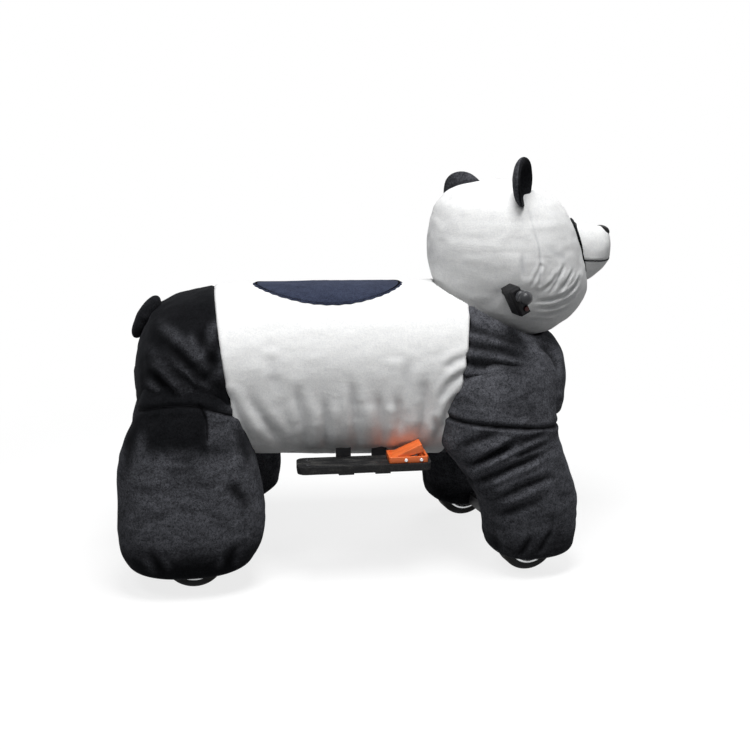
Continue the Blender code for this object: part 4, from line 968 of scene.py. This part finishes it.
# Folds, seams and stuffing of a leg, the hollow for its wheel and the thread in its upper seam
def dressLeg(work, threadName, leg, side, z, share, folds, seams, turn=0.0):
    points = pointsOf(work)
    band = softStep(side * points[:, 1] - leg["foldY"], -legSide["halfBand"], legSide["halfBand"])
    outer = legSide["inner"] + (1 - legSide["inner"]) * band
    lively = 1 + 0.3 * noiseAt(points, (10, 10, 10), 7.0)
    creaseAndPush(work, points[:, [0, 2]], folds, seams, outer * lively, outer)
    sole = (share < 1) & (z < legSole["height"])
    calm = np.where(sole, 0.0, softStep(z, legSole["calmLow"], legSole["calmHigh"]))
    plumpSurface(work, *leg["swells"], leg["seed"] + side, calm)
    points = pointsOf(work)
    points[:, 2] = np.maximum(points[:, 2], leg["low"])
    c, s = cos(turn), sin(turn)
    x, y = points[:, 0] - leg["x"], points[:, 1]
    moveTo(work, hollowFoot(points, x * c + y * s, -x * s + y * c - side * leg["y"]))
    seam = np.array(seams[0][0]).T
    path = ringRound(work, (leg["x"], side * leg["y"]), lambda x: float(np.interp(x, *seam)), legThread["points"],
                     legThread["lift"])
    threadLine(threadName, path, legThread["radius"], "frame", True)


def makeRearLegs():
    for sideName, side in (("Left", 1), ("Right", -1)):
        def section(z):
            shares = smoothRows(rearLegShares, (z - rearLeg["low"]) / (rearLeg["high"] - rearLeg["low"]))
            return (rearLeg["x"] + shares[..., 0] * rearLeg["halfLength"], side * shares[..., 2] * rearLeg["y"],
                    shares[..., 1] * rearLeg["halfLength"], shares[..., 3] * rearLeg["halfWidth"])
        work, [(cx, cy, x, y)], z, share = sweptForm(rearLeg, [section])
        # the left leg leans forward over its wheel
        lean = softStep(z, 0.06, 0.13) * (1 - softStep(z, 0.25, 0.38)) * softStep(x, -0.02, 0.12) * (side > 0)
        moveTo(work, np.column_stack([cx + x + rearLeg["slump"] * lean, cy + y, z]))
        dressLeg(work, "rearLegSeam" + sideName, rearLeg, side, z, share, rearLegFolds, rearLegSeams)
        # brushed pale, with painted sheen, on the calf and on a patch of the hip
        hip = softStep(pointsOf(work)[:, 0], -0.435, -0.425) * softStep(z, 0.37, 0.41) * (1 - softStep(z, 0.45, 0.48))
        calf = softStep(z, 0.09, 0.17) * (1 - softStep(z, 0.345, 0.40))
        finished("rearLeg" + sideName, work, "black_plush", "frame", ["rear_leg_" + sideName.lower()],
                 dustAndSheen=0.05 + 0.95 * (calf + 0.7 * hip))


def makeFrontLegs():
    for sideName, side in (("Left", 1), ("Right", -1)):
        def boot(z):
            shares = smoothRows(bootShares, (z - frontLeg["low"]) / (frontLeg["split"] - frontLeg["low"]))
            return (shares[..., 0] * frontLeg["bootLength"], side * frontLeg["y"] + 0 * z,
                    shares[..., 1] * frontLeg["bootLength"], shares[..., 2] * frontLeg["halfWidth"])

        def thigh(z):
            shares = smoothRows(thighShares, (z - frontLeg["split"]) / (frontLeg["high"] - frontLeg["split"]))
            return (frontLeg["x"] + shares[..., 0] * frontLeg["thighLength"], side * shares[..., 2] * frontLeg["y"],
                    shares[..., 1] * frontLeg["thighLength"], shares[..., 3] * frontLeg["halfWidth"])
        radiusAt = lambda z: np.where(z < frontLeg["split"], radiusOf(boot(z)), radiusOf(thigh(z)))
        work, spots, z, share = sweptForm(frontLeg, (boot, thigh), radiusAt)
        low, high = (np.column_stack([cx + x, cy + y]) for cx, cy, x, y in spots)
        c, s = cos(steerTurn), sin(steerTurn)
        turned = np.column_stack([frontLeg["x"] + low[:, 0] * c - low[:, 1] * s, low[:, 0] * s + low[:, 1] * c])
        upward = softStep(z, frontLeg["twistLow"], frontLeg["twistHigh"])[:, None]
        moveTo(work, np.column_stack([turned * (1 - upward) + high * upward, z]))
        dressLeg(work, "frontLegSeam" + sideName, frontLeg, side, z, share, frontLegFolds, frontLegSeams, steerTurn)
        # pale brushed pile with painted sheen, most on the shin
        dustAndSheen = 0.35 + 0.85 * softStep(z, 0.08, 0.16) * (1 - 0.4 * softStep(z, 0.33, 0.38))
        leg = finished("frontLeg" + sideName, work, "black_plush", None, ["front_leg_" + sideName.lower()],
                       dustAndSheen=dustAndSheen)
        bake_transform(leg)


makeRearLegs()
makeFrontLegs()

print("ride-on: head")

headSeams = (  # in the steering frame, right side; line, depth, width
    (((-0.010, 0.0, 0.986), (0.000, -0.090, 0.966), (-0.002, -0.161, 0.927), (0.007, -0.193, 0.865),
      (0.015, -0.202, 0.826), (0.016, -0.207, 0.783), (0.016, -0.205, 0.746)), 0.0022, 0.0036),
)
headFolds = (
    (((0.018, -0.205, 0.790), (0.005, -0.205, 0.765), (-0.009, -0.200, 0.734)), 0.0024, 0.0042, True),
    (((0.072, -0.201, 0.779), (0.053, -0.204, 0.751), (0.022, -0.202, 0.723)), 0.0030, 0.0045),
    (((0.095, -0.191, 0.795), (0.072, -0.201, 0.761), (0.040, -0.200, 0.715)), 0.0034, 0.0048),
    (((0.131, -0.175, 0.780), (0.099, -0.194, 0.748), (0.062, -0.198, 0.708)), 0.0034, 0.0048),
    (((0.161, -0.158, 0.760), (0.124, -0.182, 0.726), (0.079, -0.194, 0.698)), 0.0034, 0.0048),
    (((-0.002, -0.196, 0.701), (0.062, -0.197, 0.704), (0.124, -0.182, 0.726), (0.170, -0.153, 0.749)), 0.0034, 0.0048),
    (((0.004, -0.189, 0.683), (0.071, -0.190, 0.683), (0.131, -0.178, 0.702), (0.172, -0.153, 0.726)), 0.0036, 0.0052),
    (((0.002, -0.182, 0.665), (0.072, -0.183, 0.663), (0.138, -0.168, 0.681)), 0.0034, 0.0052),
    (((-0.012, -0.171, 0.647), (0.033, -0.179, 0.650), (0.087, -0.164, 0.638)), 0.0030, 0.0052),
    (((-0.031, -0.196, 0.827), (-0.030, -0.201, 0.795), (-0.026, -0.200, 0.755)), 0.0018, 0.0060),
    (((0.030, -0.205, 0.842), (0.060, -0.203, 0.820), (0.105, -0.188, 0.806)), 0.0009, 0.0090),
    (((-0.060, -0.186, 0.740), (-0.090, -0.168, 0.700), (-0.110, -0.135, 0.670)), 0.0018, 0.0110),
)
snout = dict(low=0.165, high=0.327, z=0.795, halfHeight=0.085, halfWidth=0.086, squareness=2, rounding=(0.004, 0.006),
             capShare=0.7, domes=(0, 0.004), around=176, rings=72, ridge=((0.300, 0, 0.862), (0.25, 0, 0.874),
             (0.20, 0, 0.880)), welt=0.0020, weltOut=0.001, weltForward=0.002, deepest=0.10, thread=0.0015, shade=0.7,
             swells=(0.0014, 0.0008, 0.0005), seed=14.0)
snoutShares = (  # place, drop, height, width
    (0, -0.03, 1.0, 1), (0.38, 0.055, 0.98, 0.94), (0.62, 0.04, 0.84, 0.82), (0.80, -0.053, 0.703, 0.62),
    (0.90, -0.094, 0.614, 0.44), (1, -0.042, 0.422, 0.17))
nose = dict(size=(0.020, 0.032, 0.018), place=(0.303, 0, 0.843), narrowing=0.32, groove=0.0014, grooveWidth=0.12)
mouth = dict(middle=(0.330, 0, 0.778), side=((0.318, 0.026, 0.773), (0.295, 0.050, 0.771), (0.250, 0.0765, 0.775),
                                             (0.212, 0.0835, 0.779)),
             noseEnd=(0.327, 0, 0.838))
ears = {  # node, side, size, place, lean, turn
    "earRight": ("ear_right", -1, (0.026, 0.060, 0.062), (-0.014, -0.158, 0.991), 27, 41),
    "earLeft": ("ear_left", 1, (0.022, 0.055, 0.062), (-0.036, 0.155, 0.942), 34, 49),
}
earShape = dict(hollow=1.75, back=0.95, curl=0.004, frontDustAndSheen=0.10, backDustAndSheen=0.55, swells=(0.0018, 0.0010, 0.0004),
                seed=15.0)
patch = dict(z=0.842, halfWidth=0.029, halfHeight=0.056, lean=29, turn=24, thickness=0.0026, clear=0.0018,
             buried=0.006, eye=0.0095, eyeUp=0.028, eyeIn=0.012, eyeTurn=6, eyeTilt=14, dustAndSheen=0.1,
             swells=(0.0004, 0.0005, 0.0002), seed=17.0)


def makeHead():
    work, [(shift, x, y)], z, _ = sweptForm(headShape, [headSection])
    moveTo(work, np.column_stack([shift + x, y, z]))
    for side in (-1, 1):
        points = pointsOf(work) * np.array([1, -side, 1])
        half = np.where(points[:, 1] <= 0.002, 1.0 if side < 0 else headShape["leftFolds"], 0.0)
        creaseAndPush(work, points, headFolds, headSeams, half, headShape["shade"] * half)
    plumpSurface(work, *headShape["swells"], headShape["seed"])
    finished("headCover", work, "white_plush", "steering", ["head"], toSteering)


def snoutSection(x):
    shares = smoothRows(snoutShares, (x - snout["low"]) / (snout["high"] - snout["low"]))
    return (snout["z"] - shares[..., 0] * snout["halfHeight"], shares[..., 2] * snout["halfWidth"],
            shares[..., 1] * snout["halfHeight"])


# Where the snout comes out of the head, as a closed line
def snoutRoot(count=96, levels=240):
    points = []
    for step in range(count):
        angle = np.full(levels, step / count * 2 * pi)
        x = np.linspace(snout["high"], snout["deepest"], levels)
        middle, halfWidth, halfHeight = snoutSection(x)
        y, z = oval(angle, halfWidth + snout["weltOut"], halfHeight + snout["weltOut"], snout["squareness"])
        shift, halfA, halfB = headSection(middle + z)
        inside = ((x - shift) / halfA) ** 2 + (y / halfB) ** 2 < 1
        first = int(np.argmax(inside))
        points.append((float(x[first]) + snout["weltForward"], float(y[first]), float((middle + z)[first])))
    return points


def makeSnout():
    work, [(middle, y, z)], x, _ = sweptForm(snout, [snoutSection])
    moveTo(work, np.column_stack([x, y, middle + z]))
    points = pointsOf(work)
    sides = [[mouth["middle"]] + [(x, side * y, z) for x, y, z in mouth["side"]] for side in (1, -1)]
    seams = [((mouth["noseEnd"], mouth["middle"]), 0.0020, 0.0030)] + [(line, 0.0022, 0.0030) for line in sides]
    seams.append((snout["ridge"], 0.0014, 0.004))
    creaseAndPush(work, points, (), seams, 1.0, snout["shade"])
    plumpSurface(work, *snout["swells"], snout["seed"])
    threadLine("noseThread", laidOn(work, (mouth["noseEnd"], (0.337, 0, 0.806), mouth["middle"]), 16,
                                    0.0009, toSteering), snout["thread"], "steering")
    for name, line in zip(("mouthThreadLeft", "mouthThreadRight"), sides):
        threadLine(name, laidOn(work, line, 28, 0.0012, toSteering), snout["thread"], "steering")
    finished("snoutPad", work, "white_plush", "steering", ["snout"], toSteering)
    # a dark welt cord round the snout's root, partly a painted shadow in that seam
    threadLine("snoutWeltAndShadow", [tuple(toSteering @ Vector(p)) for p in snoutRoot()], snout["welt"], "steering", True)


def makeNose():
    work, _, _, unit = ballOf(80, 56)
    points = unit * np.array(nose["size"])
    points[:, 1] *= 1 - nose["narrowing"] * softStep(-unit[:, 2], -0.2, 1.0)
    moveTo(work, points + np.array(nose["place"]))
    groove = np.exp(-(unit[:, 1] / nose["grooveWidth"]) ** 2) * softStep(-unit[:, 2], -0.1, 0.6)
    push(work, -nose["groove"] * groove)
    finished("noseButton", work, "nose_black", "steering", ["nose"], toSteering)


def makeEars():
    for name, (node, side, size, place, lean, turn) in ears.items():
        work, _, _, unit = ballOf(104, 72)
        thick = np.sqrt(np.maximum(1 - unit[:, 1] ** 2 - unit[:, 2] ** 2, 0))
        front = unit[:, 0] > 0
        hollow = thick * (1 - earShape["hollow"] * thick ** 1.5)
        depth = np.where(front, hollow, -thick * earShape["back"]) * size[0] + earShape["curl"] * unit[:, 1] ** 2
        moveTo(work, np.column_stack([depth, unit[:, 1] * size[1], unit[:, 2] * size[2]]))
        turnedBy = Matrix.Rotation(side * radians(turn), 4, "Z") @ Matrix.Rotation(-side * radians(lean), 4, "X")
        work.transform(Matrix.Translation(place) @ turnedBy)
        plumpSurface(work, *earShape["swells"], earShape["seed"] + side)
        # a little pale brushed pile in front, more painted highlight on the back
        dustAndSheen = np.where(front, earShape["frontDustAndSheen"], earShape["backDustAndSheen"])
        finished(name, work, "black_plush", "steering", [node], toSteering, dustAndSheen=dustAndSheen)


# Where level rays from near the head's middle leave it: each start and the ray's length from there
def onHead(origin, direction, upDown, across, farthest=0.40, halvings=40):
    starts = origin[None, :] + upDown + across
    low, high = np.zeros(len(starts)), np.full(len(starts), farthest)
    for _ in range(halvings):
        middle = (low + high) / 2
        spots = starts + middle[:, None] * direction[None, :]
        shift, halfA, halfB = headSection(spots[:, 2])
        inside = ((spots[:, 0] - shift) / halfA) ** 2 + (spots[:, 1] / halfB) ** 2 < 1
        low, high = np.where(inside, middle, low), np.where(inside, high, middle)
    return starts, low


def makeEyes():
    # each patch droops outwards, and its eye sits in the upper inner part
    for sideName, side in (("Left", 1), ("Right", -1)):
        frameTurn = Matrix.Rotation(side * radians(patch["turn"]), 3, "Z") @ Matrix.Rotation(
            -side * radians(patch["lean"]), 3, "X")
        forward, sideways, upward = (np.array(frameTurn @ Vector(axis)) for axis in ((1, 0, 0), (0, 1, 0), (0, 0, 1)))
        origin = np.array([0, 0, patch["z"]])
        work, angle, _, upper, share = patchOf(96, 56)
        vertical = (share * np.cos(angle) * patch["halfHeight"])[:, None] * upward[None, :]
        flat = (share * np.sin(angle) * patch["halfWidth"])[:, None] * sideways[None, :]
        starts, length = onHead(origin, forward, vertical, flat)
        lift = patch["thickness"] * np.sqrt(np.maximum(1 - softStep(share, 0.75, 1.0) ** 2, 0)) + patch["clear"]
        reach = length + np.where(upper, lift, -patch["buried"])
        moveTo(work, starts + reach[:, None] * forward[None, :])
        plumpSurface(work, *patch["swells"], patch["seed"], np.where(upper, 1.0, 0.0))
        # a little pale brushed pile with painted sheen
        finished("eyePatch" + sideName, work, "black_plush", "steering", ["eye_patch_" + sideName.lower()],
                 toSteering, dustAndSheen=patch["dustAndSheen"])

        centre, length = onHead(origin, forward, patch["eyeUp"] * upward[None, :],
                                -side * patch["eyeIn"] * sideways[None, :])
        spot = centre[0] + (length[0] + patch["thickness"]) * forward
        work = ballOf(48, 32)[0]
        shape = Matrix.Diagonal((0.5 * patch["eye"], patch["eye"], patch["eye"], 1))
        turnOut = Matrix.Rotation(side * radians(patch["turn"] + patch["eyeTurn"]), 4, "Z") @ Matrix.Rotation(
            -radians(patch["eyeTilt"]), 4, "Y")
        work.transform(Matrix.Translation(spot.tolist()) @ turnOut @ shape)
        finished("eye" + sideName, work, "eye", "steering", (), toSteering)


makeHead()
makeSnout()
makeNose()
makeEars()
makeEyes()

print("ride-on: handlebar, boards and wheels")

softEdges = {  # CAD node: body, slot, bevel
    "footboard_left": ("footboardLeft", "frame", "board_paint", 0.0016),
    "footboard_right": ("footboardRight", "frame", "board_paint", 0.0016),
    "pedal_base": ("pedalBase", "frame", "orange_plastic", 0.0009),
    "pedal_plate": ("pedalPlate", "pedal", "orange_plastic", 0.0009),
    "control_pod": ("controlPod", "steering", "black_plastic", 0.0012),
    "horn_button": ("hornButton", "horn_button", "button_red", 0.0006),
}
pod = dict(inner=-0.192, width=0.022, outward=0.044, lower=0.009, z=0.727, tilt=radians(27))
tyreShape = dict(shoulder=0.010, bead=0.003, groove=0.0022, grooveMiddle=0.0075, grooveEdges=(0.009, 0.0015), steps=144)
rimShape = dict(web=0.004, lip=0.0035, proud=0.0012, hub=0.0165, bore=0.0082, gap=0.0004, steps=96)
gripShape = dict(ball=0.283, ballRadius=0.017, radius=0.0155, inner=0.2145, bar=0.011, sweep=0.06, bend=0.024, z=0.727,
                 ribs=11)
screwShape = dict(board=(0.0058, 0.0024), other=(0.0046, 0.0020), sunk=0.001, steps=28)  # radius and height of a head


# The pod's shell runs out almost to the ball and a little lower, and its button sits on the new outer face
def reachOut(work, isPod):
    work.transform(toSteering.inverted())
    for vertex in work.verts:
        place = vertex.co
        outward = (pod["inner"] - place.y) / pod["width"] * pod["outward"] if isPod else pod["outward"]
        lower = pod["lower"] * (float(softStep(pod["z"] - place.z, 0.005, 0.025)) if isPod else 1)
        vertex.co = place + Vector((lower * sin(pod["tilt"]), -outward, -lower * cos(pod["tilt"])))
    work.transform(toSteering)


for nodeName, (name, body, slot, width) in softEdges.items():
    work = bmesh.new()
    work.from_mesh(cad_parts[nodeName].data)
    bmesh.ops.remove_doubles(work, verts=work.verts, dist=1e-5)
    bmesh.ops.dissolve_limit(work, angle_limit=radians(2), verts=work.verts, edges=work.edges)
    sharp = [e for e in work.edges if len(e.link_faces) == 2 and e.calc_face_angle(0) > radians(28)]
    bmesh.ops.bevel(work, geom=sharp, offset=width, offset_type="OFFSET", segments=3, profile=0.5, affect="EDGES",
                    material=-1, clamp_overlap=True)
    if nodeName in ("control_pod", "horn_button"):
        reachOut(work, nodeName == "control_pod")
    finished(name, work, slot, body, [nodeName])


# The pedal's spring shortens under the plate
def makeSpring():
    work = bmesh.new()
    work.from_mesh(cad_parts["pedal_spring"].data)
    spring = finished("pedalSpring", work, "plated_steel", None, ["pedal_spring"])
    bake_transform(spring)


makeSpring()


# An outline turned all the way round an axis, joined to itself unless it is open
def spun(profile, steps, axis=(0, 1, 0), closed=True):
    work = bmesh.new()
    corners = [work.verts.new(point) for point in profile]
    following = corners[1:] + corners[:1] if closed else corners[1:]
    edges = [work.edges.new(pair) for pair in zip(corners, following)]
    bmesh.ops.spin(work, geom=corners + edges, cent=(0, 0, 0), axis=axis, angle=2 * pi, steps=steps, use_merge=True,
                   use_duplicate=False)
    bmesh.ops.remove_doubles(work, verts=work.verts, dist=1e-6)
    return work


def tyreOutline():
    r, half, seat, bend = wheelShape["radius"], wheelShape["width"] / 2, wheelShape["rimRadius"], tyreShape["shoulder"]
    outline = [(seat, -half + 0.004), (seat + tyreShape["bead"], -half + 0.0005), (r - bend, -half)]
    for step in range(1, 7):
        a = step / 6 * pi / 2
        outline.append((r - bend + bend * sin(a), -half + bend - bend * cos(a)))
    side = list(outline)
    far, near = tyreShape["grooveEdges"]
    middle = tyreShape["grooveMiddle"]
    for y in (-far, -middle, -near, near, middle, far):
        outline.append((r - (tyreShape["groove"] if abs(y) == middle else 0), y))
    outline += [(radius, -y) for radius, y in reversed(side)]
    return [(radius, y, 0) for radius, y in outline]


def rimOutline():
    half, seat = wheelShape["width"] / 2, wheelShape["rimRadius"] - rimShape["gap"]
    web, lip, proud, hub = rimShape["web"], seat + rimShape["lip"], half + rimShape["proud"], rimShape["hub"]
    side = [(seat, half - 0.002), (lip, half + 0.0004), (lip, proud), (seat - 0.001, proud),
            (seat - 0.004, half - 0.003), (seat - 0.006, web + 0.010), (seat - 0.016, web + 0.002),
            (hub + 0.0035, web), (hub, web + 0.002), (hub - 0.0005, half - 0.001), (hub - 0.002, half),
            (rimShape["bore"], half)]
    return [(r, y, 0) for r, y in side] + [(r, -y, 0) for r, y in reversed(side)]


rearPlace = Matrix.Translation((rearLeg["x"], 0, 0))
wheels = {  # name: place, side, body, nodes
    "FrontLeft": (toSteering, 1, "front_wheel_left", "front_left"),
    "FrontRight": (toSteering, -1, "front_wheel_right", "front_right"),
    "RearLeft": (rearPlace, 1, "rear_axle", "rear_left"),
    "RearRight": (rearPlace, -1, "rear_axle", "rear_right"),
}
for name, (place, side, body, node) in wheels.items():
    settle = place @ Matrix.Translation((0, side * rearLeg["y"], wheelShape["axleZ"]))
    tyre, rim = spun(tyreOutline(), tyreShape["steps"]), spun(rimOutline(), rimShape["steps"])
    finished("tyre" + name, tyre, "tyre_rubber", body, ["tyre_" + node], settle)
    finished("rim" + name, rim, "plated_steel", body, ["rim_" + node], settle)


def makeHandlebar():
    g = gripShape
    corners = [(-g["sweep"], -g["ball"] + 0.004), (-g["sweep"], -0.15), (0, -0.05), (0, 0.05), (-g["sweep"], 0.15),
               (-g["sweep"], g["ball"] - 0.004)]
    path = [corners[0]]
    for before, corner, after in zip(corners, corners[1:], corners[2:]):
        a, b, c = (Vector(p) for p in (before, corner, after))
        start, end = b + (a - b).normalized() * g["bend"], b + (c - b).normalized() * g["bend"]
        for step in range(9):
            t = step / 8
            path.append(tuple((1 - t) ** 2 * start + 2 * t * (1 - t) * b + t * t * end))
    path.append(corners[-1])
    holder = wire("barPath", [(x, y, g["z"]) for x, y in path], g["bar"], 5)
    work = bmesh.new()
    work.from_mesh(bpy.data.meshes.new_from_object(holder))
    bpy.data.objects.remove(holder)
    bmesh.ops.remove_doubles(work, verts=work.verts, dist=1e-6)
    finished("handlebarTube", work, "frame_paint", "steering", ["handlebar"], toSteering)

    for name, side in (("gripLeft", 1), ("gripRight", -1)):
        outline = [(0, g["ball"] + g["ballRadius"])]
        for step in range(1, 11):
            a = step * pi / 13
            outline.append((g["ballRadius"] * sin(a), g["ball"] + g["ballRadius"] * cos(a)))
        y = g["ball"] - g["ballRadius"] * 0.86
        pitch = (y - 0.006 - g["inner"]) / g["ribs"]
        out = g["radius"]
        outline.append((out - 0.0025, y))
        for rib in range(g["ribs"]):
            top = y - 0.002 - rib * pitch
            outline += [(out - 0.0012, top), (out, top - pitch * 0.25), (out, top - pitch * 0.6),
                        (out - 0.0012, top - pitch * 0.8)]
        hole = g["bar"] + 0.0004
        outline += [(out, g["inner"] + 0.003), (out - 0.001, g["inner"]), (hole, g["inner"]), (hole, g["ball"]),
                    (0, g["ball"])]
        work = spun([(r, side * y, 0) for r, y in outline], 48)
        settle = toSteering @ Matrix.Translation((-g["sweep"], 0, g["z"]))
        finished(name, work, "grip_rubber", "steering", ["grip_left" if side > 0 else "grip_right"], settle)


makeHandlebar()


# Domed cross-slot heads, on the pedal base and the footboards
def makeScrews():
    spots = {}
    baseLow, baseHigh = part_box("pedal_base")
    for name, x in (("pedalScrewRear", 0.052), ("pedalScrewFront", 0.090)):
        spots[name] = ((x, baseLow[1], (baseLow[2] + baseHigh[2]) / 2 - 0.001), "pedal")
    for sideName in ("left", "right"):
        low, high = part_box("footboard_" + sideName)
        for end, x in (("Rear", low[0] + 0.026), ("Front", high[0] - 0.020)):
            for row, y in (("A", low[1] + 0.020), ("B", high[1] - 0.020)):
                spots["boardBolt" + sideName.capitalize() + end + row] = ((x, y, high[2]), "board")
        endPlace = (high[0], (low[1] + high[1]) / 2, (low[2] + high[2]) / 2)
        spots["boardEndBolt" + sideName.capitalize()] = (endPlace, "end")
    turns = {"pedal": "X", "end": "Y"}
    for name, (place, kind) in spots.items():
        radius, height = screwShape.get(kind, screwShape["other"])
        shares = ((1, 0.25), (0.86, 0.62), (0.55, 0.9), (0.30, 1), (0.24, 0.55), (0, 0.5))
        outline = [(0, 0, -screwShape["sunk"]), (radius, 0, -screwShape["sunk"])]
        outline += [(radius * out, 0, height * up) for out, up in shares]
        work = spun(outline, screwShape["steps"], (0, 0, 1), False)
        turn = Matrix.Rotation(pi / 2, 4, turns[kind]) if kind in turns else Matrix.Identity(4)
        finish = "frame_paint" if kind == "board" else "plated_steel"
        finished(name, work, finish, "frame", (), Matrix.Translation(place) @ turn)


makeScrews()

print("ride-on: done")
